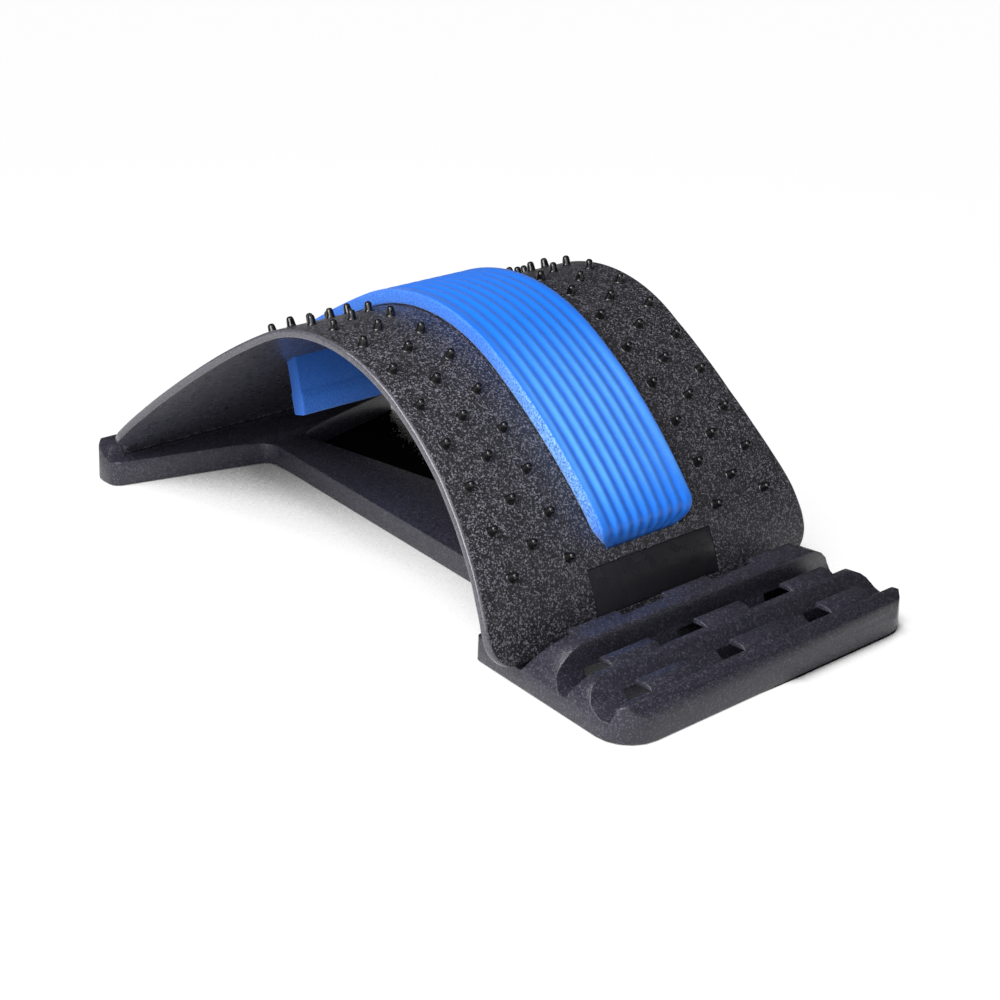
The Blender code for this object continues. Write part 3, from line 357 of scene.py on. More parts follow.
# The pad's ribbed skin is closed by the hot mould, with only a faint unevenness.
# Its colour carries painted shade between the ribs, from the crest back and at both ends.
FOAM_SKIN = EvaFoam(
    "eva_foam_ribbed_skin", "#509EF8", "#1A67E4", roughness=0.4, cell_size=3 * MM,
    cell_depth=0.03 * MM, cell_share=0.1, rib_shade_share=0.8, pad_shade_colour="#0A6EE2", pad_shade_share=0.95, sheen=0.1)
# The cut sides show the foam's open cells, about 0.5 mm across, drawn at 0.9 mm so that they show.
# Its colour carries painted shade from the crest back and at both ends.
FOAM_CUT = EvaFoam(
    "eva_foam_cut_side", "#7FB4F4", "#1F55A8", roughness=0.8, cell_size=0.9 * MM,
    cell_depth=0.35 * MM, cell_share=1.0, rib_shade_share=0.0, pad_shade_colour="#0E63D0", pad_shade_share=0.75)
WHITE = linear("#FFFFFF")


def link(item: bpy.types.Object) -> bpy.types.Object:
    """Add an object to the scene and return it."""
    bpy.context.scene.collection.objects.link(item)
    return item


def add_piece(name: str, bm: bmesh.types.BMesh) -> bpy.types.Object:
    """Turn a bmesh into an object with its faces pointing out.

    Args:
        name: name of the piece.
        bm: its faces, which are used up.

    Returns:
        The new object.
    """
    bmesh.ops.recalc_face_normals(bm, faces=bm.faces)
    mesh = bpy.data.meshes.new(name)
    bm.to_mesh(mesh)
    bm.free()
    return link(bpy.data.objects.new(name, mesh))


def settle(piece: bpy.types.Object) -> None:
    """Replace an object's mesh by what its modifiers make of it.

    Args:
        piece: object with modifiers.
    """
    graph = bpy.context.evaluated_depsgraph_get()
    mesh = bpy.data.meshes.new_from_object(piece.evaluated_get(graph))
    piece.modifiers.clear()
    piece.data = mesh


def cut_away(piece: bpy.types.Object, tool: bpy.types.Object) -> None:
    """Cut one object out of another.

    Args:
        piece: object that is cut.
        tool: form of the opening, which is used up.
    """
    step = piece.modifiers.new("cut", "BOOLEAN")
    step.object = tool
    step.operation = "DIFFERENCE"
    step.solver = "EXACT"
    settle(piece)
    bpy.data.objects.remove(tool, do_unlink=True)


def round_edges(piece: bpy.types.Object, width: float) -> None:
    """Round the sharp edges of an object.

    Args:
        piece: object to round.
        width: width of the rounding.
    """
    step = piece.modifiers.new("edge_round", "BEVEL")
    step.width = width
    step.segments = EDGE_FACES
    step.limit_method = "ANGLE"
    step.angle_limit = SHARP_EDGE
    step.use_clamp_overlap = True
    settle(piece)


def smooth(piece: bpy.types.Object, angle: float = 35.0) -> None:
    """Shade an object smooth up to an angle in degrees."""
    piece.data.shade_smooth()
    piece.data.set_sharp_from_angle(angle=math.radians(angle))


def dress(piece: bpy.types.Object, materials: Sequence[bpy.types.Material]) -> None:
    """Give a piece its materials.

    Args:
        piece: object to dress.
        materials: its finishes, in the order of its faces' material places.
    """
    slots = piece.data.materials
    for index, material in enumerate(materials):
        if index < len(slots):
            slots[index] = material
        else:
            slots.append(material)


def side_slab(name: str, outline: Outline, half_width: float, centre: float = 0.0) -> bpy.types.Object:
    """Extrude a closed outline in the YZ plane along X.

    Args:
        name: name of the slab.
        outline: points (y, z).
        half_width: half its width along X.
        centre: X of its middle.

    Returns:
        The slab as an object.
    """
    bm = bmesh.new()
    left = [bm.verts.new((centre - half_width, y, z)) for y, z in outline]
    right = [bm.verts.new((centre + half_width, y, z)) for y, z in outline]
    bm.faces.new(left)
    bm.faces.new(list(reversed(right)))
    for index, here in enumerate(left):
        after = (index + 1) % len(left)
        bm.faces.new((here, right[index], right[after], left[after]))
    return add_piece(name, bm)


def add_lathe(bm: bmesh.types.BMesh, profile: Outline, sides: int,
              place: Callable[[float, float, float], Vector]) -> None:
    """Add a turned form to a bmesh.

    Args:
        bm: mesh that it goes into.
        profile: points (radius, height) from its foot to its tip; a radius of 0 closes an end.
        sides: faces round it.
        place: gives the spot of a point from its two distances across and its height.
    """
    rings: list[list[bmesh.types.BMVert]] = []
    for radius, height in profile:
        if radius == 0:
            rings.append([bm.verts.new(place(0.0, 0.0, height))])
            continue
        ring = []
        for side in range(sides):
            angle = 2 * math.pi * side / sides
            ring.append(bm.verts.new(place(radius * math.cos(angle), radius * math.sin(angle), height)))
        rings.append(ring)
    for lower, upper in zip(rings, rings[1:]):
        for side in range(sides):
            after = (side + 1) % sides
            corners = [lower[side % len(lower)], lower[after % len(lower)],
                       upper[after % len(upper)], upper[side % len(upper)]]
            bm.faces.new(list(dict.fromkeys(corners)))


@dataclass
class ArchProfile:
    """The plate's side line, bent from its hinge to its front edge."""

    thickness: float = 4 * MM
    hinge: tuple[float, float] = (187 * MM, 14.3 * MM)
    rear_slope: float = math.radians(44.5)
    bends: tuple[tuple[float, float], ...] = (
        (45, 8.2), (45, 2.5), (45, 2.6), (45, 5.6), (45, 29.0),
        (45, 28.3), (45, 11.0), (45, 8.9), (25, 16.8), (20, 14.4),
    )

    @property
    def length(self) -> float:
        """Arc length from the hinge to the front edge."""
        return sum(length for length, turn in self.bends) * MM

    def at(self, distance: float, offset: float = 0.0) -> tuple[float, float, float]:
        """Find a spot along the plate.

        Args:
            distance: arc length from the hinge along the top surface.
            offset: distance out from the top surface.

        Returns:
            Y, Z and the slope below the horizontal towards the front.
        """
        slope = -self.rear_slope
        y = self.hinge[0] + math.sin(self.rear_slope) * self.thickness / 2
        z = self.hinge[1] + math.cos(self.rear_slope) * self.thickness / 2
        left = distance
        for index, (length, turn) in enumerate(self.bends):
            last = index == len(self.bends) - 1
            run = max(left if last else min(left, length * MM), 0.0)
            bend = math.radians(turn) * run / (length * MM)
            chord = run if abs(bend) < 1e-9 else 2 * run * math.sin(bend / 2) / bend
            y -= chord * math.cos(slope + bend / 2)
            z -= chord * math.sin(slope + bend / 2)
            slope += bend
            left -= run
            if left <= 0:
                break
        return y - offset * math.sin(slope), z + offset * math.cos(slope), slope

    def stations(self, start: float, end: float, step: float) -> list[float]:
        """Return evenly spaced arc lengths from start to end."""
        count = max(1, math.ceil((end - start) / step))
        return [start + (end - start) * index / count for index in range(count + 1)]

    def band(self, start: float, end: float, low: float, high: float, step: float) -> Outline:
        """Outline a slab that follows the plate between two offsets.

        Args:
            start: arc length of its rear end.
            end: arc length of its front end.
            low: offset of its lower face from the plate's top surface.
            high: offset of its upper face.
            step: most that two of its points are apart.

        Returns:
            The closed outline from the side.
        """
        places = self.stations(start, end, step)
        top = [self.at(distance, high)[:2] for distance in places]
        bottom = [self.at(distance, low)[:2] for distance in reversed(places)]
        return top + bottom


@dataclass
class PadPath:
    """The line along the middle of the foam pad, and where it dives through the plate."""

    arch: ArchProfile
    thickness: float = 7 * MM
    lift: float = 0.3 * MM
    rear_slot: float = 107 * MM
    front_slot: float = 363.2 * MM
    turn_radius: float = 5.8 * MM
    rear_tail: float = 37 * MM
    front_tail: float = 24 * MM
    rear_lean: float = math.radians(13)
    front_lean: float = math.radians(-28)
    step: float = 3.5 * MM
    turn_steps: int = 8
    straight: float = math.radians(80)

    @staticmethod
    def hang(lean: float) -> Vector:
        """Return the direction in which a tail hangs, as (y, z)."""
        return Vector((-math.sin(lean), -math.cos(lean)))

    def points(self) -> list[Vector]:
        """Lay out the pad's middle.

        Returns:
            The line from the end of the rear tail to the end of the front tail, as (y, z).
        """
        centre = self.lift + self.thickness / 2
        run = [Vector(self.arch.at(distance, centre)[:2])
               for distance in self.arch.stations(self.rear_slot, self.front_slot, self.step)]
        inner = [spot for spot in run[1:-1]
                 if min((spot - run[0]).length, (spot - run[-1]).length) > 2 * self.turn_radius]
        run = [run[0]] + inner + [run[-1]]
        rear = run[0] + self.hang(self.rear_lean) * self.rear_tail
        front = run[-1] + self.hang(self.front_lean) * self.front_tail
        return self.turned([rear] + run + [front])

    def turned(self, points: list[Vector]) -> list[Vector]:
        """Round the corners of a line.

        Args:
            points: the line; a corner whose half angle is over straight is left as it is.

        Returns:
            The line with rounded corners.
        """
        path = [points[0]]
        for before, here, after in zip(points, points[1:], points[2:]):
            back = (before - here).normalized()
            ahead = (after - here).normalized()
            half = back.angle(ahead) / 2
            if half > self.straight:
                path.append(here)
                continue
            reach = self.turn_radius / math.tan(half)
            for step in range(self.turn_steps + 1):
                share = step / self.turn_steps
                near = (here + back * reach).lerp(here, share)
                far = here.lerp(here + ahead * reach, share)
                path.append(near.lerp(far, share))
        path.append(points[-1])
        return path


class PlateSide(Enum):
    """Sides of the plate, by the place of their finish."""

    TOP = 0
    UNDER = 1
    RIM = 2


@dataclass
class ArchPlate:
    """The bowed plate: a thin moulding with pad slots, a label recess, a hinge bead and tabs.

    The widths are pairs of arc length and half width in millimetres, from the hinge to the front.
    The front slot is narrower than the pad, whose front corners are round where it dives.
    """

    arch: ArchProfile
    pad: PadPath
    pad_half_width: float = 30.5 * MM
    slot_gap: float = 1.2 * MM
    slot_run_in: float = 1 * MM
    slot_run_out: float = 15 * MM
    front_corner: float = 15 * MM
    corner_rows: int = 12
    rim_steps: int = 5
    edge_round: float = 1.5 * MM
    flat_support: float = 0.5 * MM
    front_slot_inset: float = 7 * MM
    step: float = 2.5 * MM
    least_step: float = 0.1 * MM
    widths: tuple[tuple[float, float], ...] = (
        (0, 83), (9, 83), (13, 89), (18, 93), (25, 94.5), (70, 94.5), (130, 93.5), (180, 92),
        (217, 91), (250, 89.8), (275, 88.7), (297, 89.2), (318, 90.4), (338, 93), (356, 96),
        (372, 99), (385, 100.5),
    )
    rear_stations: int = 5
    label_start: float = 376 * MM
    label_length: float = 22 * MM
    label_half_width: float = 39 * MM
    label_recess: float = 1.4 * MM
    recess_reach: float = 2 * MM
    bead_radius: float = 3.6 * MM
    bead_half: float = 83.2 * MM
    pin_radius: float = 2.6 * MM
    pin_half: float = 86.5 * MM
    bead_sides: int = 32
    pin_sides: int = 28
    turned_lip: float = 0.5 * MM
    tab_centres: tuple[float, ...] = (-56 * MM, 0.0, 56 * MM)
    tab_half_width: float = 10 * MM
    tab_length: float = 3 * MM
    tab_root: float = 2 * MM
    tab_inset: float = 0.45 * MM
    tab_round: float = 0.4 * MM

    def half_width(self, distance: float) -> float:
        """Find the plate's half width, with its rounded front corners.

        Args:
            distance: arc length from the hinge.

        Returns:
            Half the width there.
        """
        width = self.widths[-1][1] * MM
        for (start, low), (end, high) in zip(self.widths, self.widths[1:]):
            if distance < end * MM:
                share = max(distance / MM - start, 0.0) / (end - start)
                width = (low + (high - low) * share) * MM
                break
        edge = self.arch.length - distance
        if edge < self.front_corner:
            reach = self.front_corner - edge
            drop = math.sqrt(max(self.front_corner ** 2 - reach ** 2, 0.0))
            width -= self.front_corner - drop
        return width

    def end_inset(self, distance: float) -> float:
        """Find how far the faces stand in where the plate's two ends are rounded.

        Args:
            distance: arc length from the hinge.

        Returns:
            The inset, which is 0 away from the ends.
        """
        edge = min(distance, self.arch.length - distance)
        reach = max(self.edge_round - edge, 0.0)
        return self.edge_round - math.sqrt(self.edge_round ** 2 - reach ** 2)

    def section(self, distance: float) -> Section:
        """Draw the plate's cross-section.

        Args:
            distance: arc length from the hinge.

        Returns:
            Points (x, offset from the top surface, side of the face that follows), in order round
            the section. Each flat has a support point beside its rounding, so that it shades flat.
        """
        inset = self.end_inset(distance)
        half = self.half_width(distance) - inset
        low, high = inset - self.arch.thickness, -inset
        radius = min(self.edge_round, (high - low) / 2)
        points: Section = []
        for side, levels in ((1, (high, low)), (-1, (low, high))):
            for level, closing in zip(levels, (False, True)):
                rises = 1 if level == high else -1
                flat = PlateSide.TOP.value if level == high else PlateSide.UNDER.value
                arc = []
                for step in range(self.rim_steps + 1):
                    angle = math.pi / 2 * step / self.rim_steps
                    arc.append((side * (half - radius * (1 - math.sin(angle))),
                                level - rises * radius * (1 - math.cos(angle)), PlateSide.RIM.value))
                support = (side * (half - radius - self.flat_support), level, flat)
                if closing:
                    arc.reverse()
                    arc[-1] = (*arc[-1][:2], flat)
                    points += arc + [support]
                else:
                    points += [support] + arc
        return points

    def stations(self) -> list[float]:
        """Place the cross-sections, closer together at the rounded ends and corners.

        Returns:
            Their arc lengths from the hinge.
        """
        front_start = self.arch.length - self.front_corner
        turns = [math.pi / 2 * step / self.rim_steps for step in range(self.rim_steps + 1)]
        places = [self.edge_round * (1 - math.cos(turn)) for turn in turns]
        places += [start * MM for start, half in self.widths[1:self.rear_stations]]
        places += self.arch.stations(places[-1], front_start, self.step)[1:]
        for index in range(1, self.corner_rows):
            turn = math.pi / 2 * index / self.corner_rows
            places.append(front_start + self.front_corner * math.sin(turn))
        last = self.arch.length - self.edge_round
        places = [place for place in places if place < last - self.least_step]
        return places + [last + self.edge_round * math.sin(turn) for turn in turns]

    def shell(self) -> bpy.types.Object:
        """Loft the bare bent plate through its cross-sections.

        Returns:
            The plate, with its sides' finishes.
        """
        bm = bmesh.new()
        loops = []
        for distance in self.stations():
            loop = []
            for x, offset, material in self.section(distance):
                y, z, slope = self.arch.at(distance, offset)
                loop.append((bm.verts.new((x, y, z)), material))
            loops.append(loop)
        for loop, following in zip(loops, loops[1:]):
            for index, (vertex, material) in enumerate(loop):
                after = (index + 1) % len(loop)
                face = bm.faces.new((vertex, loop[after][0], following[after][0], following[index][0]))
                face.material_index = material
        for cap in (loops[0], loops[-1]):
            bm.faces.new([vertex for vertex, material in cap]).material_index = PlateSide.RIM.value
        plate = add_piece("arch_plate_shell", bm)
        dress(plate, [PLATE_SKIN.build(), PLATE_UNDERSIDE_PAINTED_REFLECTION.build(), PLATE_RIM_PAINTED_HIGHLIGHT.build()])
        return plate

    def slot(self, distance: float, lean: float) -> Outline:
        """Outline the slot through which the pad leaves the plate.

        Args:
            distance: arc length of the slot from the hinge.
            lean: how far the pad's tail leans from the vertical.

        Returns:
            The closed outline from the side.
        """
        y, z, slope = self.arch.at(distance, self.pad.lift + self.pad.thickness / 2)
        along = self.pad.hang(lean)
        across = Vector((-along.y, along.x)) * (self.pad.thickness / 2 + self.slot_gap)
        start = Vector((y, z)) - along * self.slot_run_in
        end = Vector((y, z)) + along * self.slot_run_out
        return [tuple(spot) for spot in (start + across, end + across, end - across, start - across)]

    def add_hinge(self, bm: bmesh.types.BMesh) -> None:
        """Add the hinge bead and its stub pins, turned about X.

        Args:
            bm: the plate's mesh.
        """
        y, z = self.arch.hinge

        def place(across: float, up: float, along: float) -> Vector:
            """Put a turned point beside the hinge line."""
            return Vector((along, y + across, z + up))

        lip = self.turned_lip
        for radius, half, sides in ((self.bead_radius, self.bead_half, self.bead_sides),
                                    (self.pin_radius, self.pin_half, self.pin_sides)):
            profile = [(0, -half), (radius - lip, -half), (radius, lip - half),
                       (radius, half - lip), (radius - lip, half), (0, half)]
            add_lathe(bm, profile, sides, place)

    def build(self) -> bpy.types.Object:
        """Build the whole plate.

        Returns:
            The plate, dressed.
        """
        plate = self.shell()
        slot_half = self.pad_half_width + self.slot_gap
        for distance, lean, half in (
                (self.pad.rear_slot, self.pad.rear_lean, slot_half),
                (self.pad.front_slot, self.pad.front_lean, slot_half - self.front_slot_inset)):
            cut_away(plate, side_slab("pad_slot", self.slot(distance, lean), half))
        recess = self.arch.band(self.label_start, self.label_start + self.label_length,
                                -self.label_recess, self.recess_reach, self.step)
        cut_away(plate, side_slab("label_recess", recess, self.label_half_width))
        bm = bmesh.new()
        bm.from_mesh(plate.data)
        self.add_hinge(bm)
        for centre in self.tab_centres:
            front = self.arch.length
            outline = self.arch.band(front - self.tab_root, front + self.tab_length,
                                     self.tab_inset - self.arch.thickness, -self.tab_inset, self.step)
            tab = side_slab("tab", outline, self.tab_half_width, centre)
            round_edges(tab, self.tab_round)
            bm.from_mesh(tab.data)
            bpy.data.objects.remove(tab, do_unlink=True)
        bm.to_mesh(plate.data)
        bm.free()
        smooth(plate)
        return plate


@dataclass
class PressureNubs:
    """The nubs on both sides of the pad: cones with a domed tip and a small flare at the foot.

    The profile is in millimetres, as pairs of radius and height above the plate.
    """

    arch: ArchProfile
    crest: float = 219 * MM
    front_rows: int = 7
    rear_rows: int = 3
    front_pitch: float = 21.3 * MM
    rear_pitch: float = 16.2 * MM
    columns: tuple[float, float, float] = (46.6 * MM, 62.7 * MM, 79.3 * MM)
    sides: int = 20
    profile: tuple[tuple[float, float], ...] = (
        (2.7, -0.4), (2.4, 0.0), (2.15, 0.25), (2.05, 0.8), (1.92, 1.9), (1.76, 3.0), (1.62, 3.6),
        (1.36, 4.1), (0.96, 4.42), (0.5, 4.57), (0.0, 4.6),
    )

    def places(self) -> list[tuple[float, float]]:
        """Place the nubs in three columns on each side, the middle one between the others' rows.

        Returns:
            The X and the arc length of every nub.
        """
        rows = [self.crest - self.rear_pitch * row for row in range(self.rear_rows, 0, -1)]
        rows += [self.crest + self.front_pitch * row for row in range(self.front_rows + 1)]
        between = [(row + following) / 2 for row, following in zip(rows, rows[1:])]
        inner, middle, outer = self.columns
        spots = []
        for x, distances in ((inner, rows), (middle, between), (outer, rows)):
            for distance in distances:
                spots += [(-x, distance), (x, distance)]
        return spots

    def build(self) -> bpy.types.Object:
        """Build all the nubs as one piece, each square to the plate.

        Returns:
            The nubs, dressed.
        """
        bm = bmesh.new()
        profile = [(radius * MM, height * MM) for radius, height in self.profile]
        for x, distance in self.places():
            y, z, slope = self.arch.at(distance)
            along = Vector((0.0, -math.cos(slope), -math.sin(slope)))
            out = Vector((0.0, -math.sin(slope), math.cos(slope)))
            foot = Vector((x, y, z))

            def place(across: float, forward: float, height: float) -> Vector:
                """Put a turned point on the plate at this nub."""
                return foot + Vector((across, 0, 0)) + along * forward + out * height

            add_lathe(bm, profile, self.sides, place)
        nubs = add_piece("pressure_nubs", bm)
        smooth(nubs, angle=60)
        dress(nubs, [NUB_SKIN.build()])
        return nubs


@dataclass
class LumbarPad:
    """The foam pad: a strip with nine soft ribs, hemmed where its tails end under the plate.

    The rear tail is plain: past it the ribs rise, at rib_onset times their height in a tail's length.
    """

    path: PadPath
    half_width: float = 30.5 * MM
    rib_pitch: float = RIB_PITCH
    ribs: int = 9
    rib_depth: float = 1.0 * MM
    rib_columns: int = 8
    edge_round: float = 1.3 * MM
    edge_steps: int = 4
    hem_length: float = 12 * MM
    hem_extra: float = 0.75 * MM
    hem_lip: float = 0.8 * MM
    rib_onset: float = 4.0
    taper_length: float = 75 * MM
    taper: float = 1.6 * MM
    corner: float = 9 * MM
    corner_depth: float = 7 * MM

    def surface(self) -> list[tuple[float, float]]:
        """Draw the ribbed side across the pad.

        Returns:
            Points (x, drop below the ribs' crests) from left to right.
        """
        wave_end = (self.ribs - 1) / 2 * self.rib_pitch
        line = []
        for step in range(self.edge_steps + 1):
            angle = math.pi / 2 * step / self.edge_steps
            line.append((-self.half_width + self.edge_round * (1 - math.sin(angle)),
                         self.edge_round * (1 - math.cos(angle))))
        line.reverse()
        count = (self.ribs - 1) * self.rib_columns
        for step in range(count + 1):
            x = -wave_end + 2 * wave_end * step / count
            drop = self.rib_depth * (1 - math.cos(2 * math.pi * (x + wave_end) / self.rib_pitch)) / 2
            line.append((x, drop))
        mirrored = [(-x, drop) for x, drop in reversed(line[:self.edge_steps + 1])]
        return line + mirrored

    def spine(self) -> list[tuple[Vector, Vector, float]]:
        """Follow the pad's middle line.

        Returns:
            Place, outward direction and distance from the start of each station.
        """
        points = self.path.points()
        spots = []
        travelled = 0.0
        for index, spot in enumerate(points):
            before = points[max(index - 1, 0)]
            after = points[min(index + 1, len(points) - 1)]
            tangent = (after - before).normalized()
            travelled += (spot - before).length
            spots.append((spot, Vector((tangent.y, -tangent.x)), travelled))
        return spots

    def build(self) -> bpy.types.Object:
        """Build the pad; its cut sides and back have the second finish.

        Returns:
            The pad, dressed.
        """
        spots = self.spine()
        length = spots[-1][2]
        spots = self.with_hems(spots, length)
        across = self.surface()
        half = self.path.thickness / 2
        bm = bmesh.new()
        loops = []
        run = 0.0
        before = spots[0][0]
        for spot, out, extra, ribbed in spots:
            run += (spot - before).length
            before = spot
            narrow = self.narrowing(length - run)
            loop = []
            for x, drop in across:
                y, z = spot + out * (half + extra - drop * ribbed)
                loop.append(bm.verts.new((x * narrow, y, z)))
            for x, drop in reversed(across[:self.edge_steps + 1] + across[-self.edge_steps - 1:]):
                y, z = spot - out * (half + extra - drop)
                loop.append(bm.verts.new((x * narrow, y, z)))
            loops.append(loop)
        top = len(across) - 1
        for loop, following in zip(loops, loops[1:]):
            for index in range(len(loop)):
                after = (index + 1) % len(loop)
                face = bm.faces.new((loop[index], loop[after], following[after], following[index]))
                side = index >= top or index < self.edge_steps - 1 or index > top - self.edge_steps
                face.material_index = 1 if side else 0
        for cap in (list(reversed(loops[0])), loops[-1]):
            bm.faces.new(cap).material_index = 1
        pad = add_piece("lumbar_pad_foam", bm)
        smooth(pad, angle=50)
        dress(pad, [FOAM_SKIN.build(), FOAM_CUT.build()])
        return pad

    def narrowing(self, to_front: float) -> float:
        """Find how much narrower the pad is near its front end.

        It tapers a little, and its corners are round where it dives through the plate.

        Args:
            to_front: distance along the pad from its front end.

        Returns:
            Its share of its full width.
        """
        run = to_front - self.path.front_tail + self.corner_depth
        share = 1 - min(max(run, 0.0) / self.taper_length, 1.0)
        narrowed = self.taper * share * share * (3 - 2 * share)
        turn = min(max(1 - run / self.corner, 0.0), 1.0)
        rounded = self.corner * (1 - math.sqrt(1 - turn * turn))
        return 1 - (narrowed + rounded) / self.half_width

    def with_hems(self, spots: list[tuple[Vector, Vector, float]],
                  length: float) -> list[tuple[Vector, Vector, float, float]]:
        """Add the thicker hems to the two ends of the pad's line.

        Args:
            spots: place, outward direction and distance from the start of each station.
            length: length of the whole line.

        Returns:
            Place, outward direction, extra half thickness and share of the ribs of each station.
        """
        first, last = spots[0], spots[-1]
        rear = (spots[1][0] - first[0]).normalized()
        front = (spots[-2][0] - last[0]).normalized()
        lip = self.hem_lip
        ends = []
        for end, inward in ((first, rear), (last, front)):
            ends.append([
                (end[0], end[1], self.hem_extra - lip, 0.0),
                (end[0] + inward * lip, end[1], self.hem_extra, 0.0),
                (end[0] + inward * (self.hem_length - lip), end[1], self.hem_extra, 0.0),
                (end[0] + inward * self.hem_length, end[1], 0.0, 0.0),
                (end[0] + inward * (self.hem_length + 2 * lip), end[1], 0.0, 0.0),
            ])
        clear = self.hem_length + 3 * lip
        plain = self.path.rear_tail
        middle = [(spot, out, 0.0, min(max(far / plain - 1, 0.0) * self.rib_onset, 1.0))
                  for spot, out, far in spots if clear < far < length - clear]
        return ends[0] + middle + list(reversed(ends[1]))


@dataclass
class LabelPlate:
    """The bare label plate in its recess below the pad."""

    arch: ArchProfile
    start: float = 376.3 * MM
    length: float = 21.4 * MM
    half_width: float = 38.7 * MM
    low: float = -1.1 * MM
    thickness: float = 0.8 * MM
    step: float = 2 * MM
    edge_round: float = 0.2 * MM

    def build(self) -> bpy.types.Object:
        """Build the thin bent panel with rounded edges.

        Returns:
            The panel, dressed.
        """
        outline = self.arch.band(self.start, self.start + self.length, self.low,
                                 self.low + self.thickness, self.step)
        label = side_slab("label_panel", outline, self.half_width)
        round_edges(label, self.edge_round)
        smooth(label)
        dress(label, [LABEL_FILM.build()])
        return label


@dataclass
class Base:
    """The moulded base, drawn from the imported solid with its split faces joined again."""

    weld: float = 0.005 * MM
    flat: float = math.radians(0.5)

    def build(self, solid: bpy.types.Object) -> bpy.types.Object:
        """Build the base as a piece of its own.

        Args:
            solid: packed base node, which stays as it is.

        Returns:
            The base, dressed.
        """
        bm = bmesh.new()
        bm.from_mesh(solid.data)
        bmesh.ops.remove_doubles(bm, verts=bm.verts, dist=self.weld)
        bmesh.ops.dissolve_limit(bm, angle_limit=self.flat, verts=bm.verts, edges=bm.edges)
        base = add_piece("base_moulding", bm)
        smooth(base, angle=40)
        dress(base, [BASE_SKIN.build()])
        return base


@dataclass
class Feet:
    """The four anti-slip feet: rubber buttons with a rounded rim and a hollow in the sole.

    The profile is in millimetres, as pairs of radius and height above the floor.
    """

    names: tuple[str, ...] = (
        "foot_front_left", "foot_front_right", "foot_rear_left", "foot_rear_right")
    sides: int = 40
    profile: tuple[tuple[float, float], ...] = (
        (0.0, 0.35), (2.2, 0.35), (2.6, 0.0), (5.3, 0.0), (5.8, 0.15), (6.0, 0.6), (6.0, 2.0),
        (5.8, 2.2), (0.0, 2.2),
    )

    def build(self) -> list[bpy.types.Object]:
        """Build one button for each packed foot.

        Returns:
            The buttons, dressed, in the order of the names.
        """
        rubber = FOOT_RUBBER.build()
        buttons = []
        for name in self.names:
            low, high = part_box(name)
            centre = (low + high) / 2

            def place(across: float, forward: float, height: float) -> Vector:
                """Put a turned point on this foot."""
                return Vector((centre.x + across, centre.y + forward, low.z + height))

            bm = bmesh.new()
            add_lathe(bm, [(radius * MM, height * MM) for radius, height in self.profile],
                      self.sides, place)
            button = add_piece(f"{name}_button", bm)
            smooth(button, angle=40)
            dress(button, [rubber])
            buttons.append(button)
        return buttons


@dataclass
class PhotoCamera:
    """The camera, fitted to the photograph."""

    location: tuple[float, float, float] = (-0.58695, -0.67287, 0.38572)
    right: tuple[float, float, float] = (0.75047913, -0.66085115, 0.00753917)
    up: tuple[float, float, float] = (0.2407966, 0.28404247, 0.92808236)
    back: tuple[float, float, float] = (-0.61546574, -0.69469104, 0.37229866)
    lens: float = 71.04
    sensor: float = 36.0
    shift: tuple[float, float] = (0.01597, -0.00918)

    def build(self) -> bpy.types.Object:
        """Build the camera and make it the scene's.

        Returns:
            The camera.
        """
        data = bpy.data.cameras.new("photo_camera")
        data.sensor_width = self.sensor
        data.lens = self.lens
        data.shift_x, data.shift_y = self.shift
        camera = link(bpy.data.objects.new("photo_camera", data))
        columns = Matrix((self.right, self.up, self.back)).transposed().to_4x4()
        camera.matrix_world = Matrix.Translation(self.location) @ columns
        bpy.context.scene.camera = camera
        return camera


@dataclass
class SoftBox:
    """A rectangular white studio light."""

    name: str
    place: tuple[float, float, float]
    size: tuple[float, float]
    power: float
    aim: tuple[float, float, float] = (0.0, -0.02, 0.06)

    def build(self) -> bpy.types.Object:
        """Build the light, turned to what it aims at.

        Returns:
            The light.
        """
        data = bpy.data.lights.new(self.name, "AREA")
        data.shape = "RECTANGLE"
        data.size, data.size_y = self.size
        data.energy = self.power
        lamp = link(bpy.data.objects.new(self.name, data))
        towards = Vector(self.aim) - Vector(self.place)
        turn = towards.to_track_quat("-Z", "Y").to_matrix().to_4x4()
        lamp.matrix_world = Matrix.Translation(self.place) @ turn
        return lamp


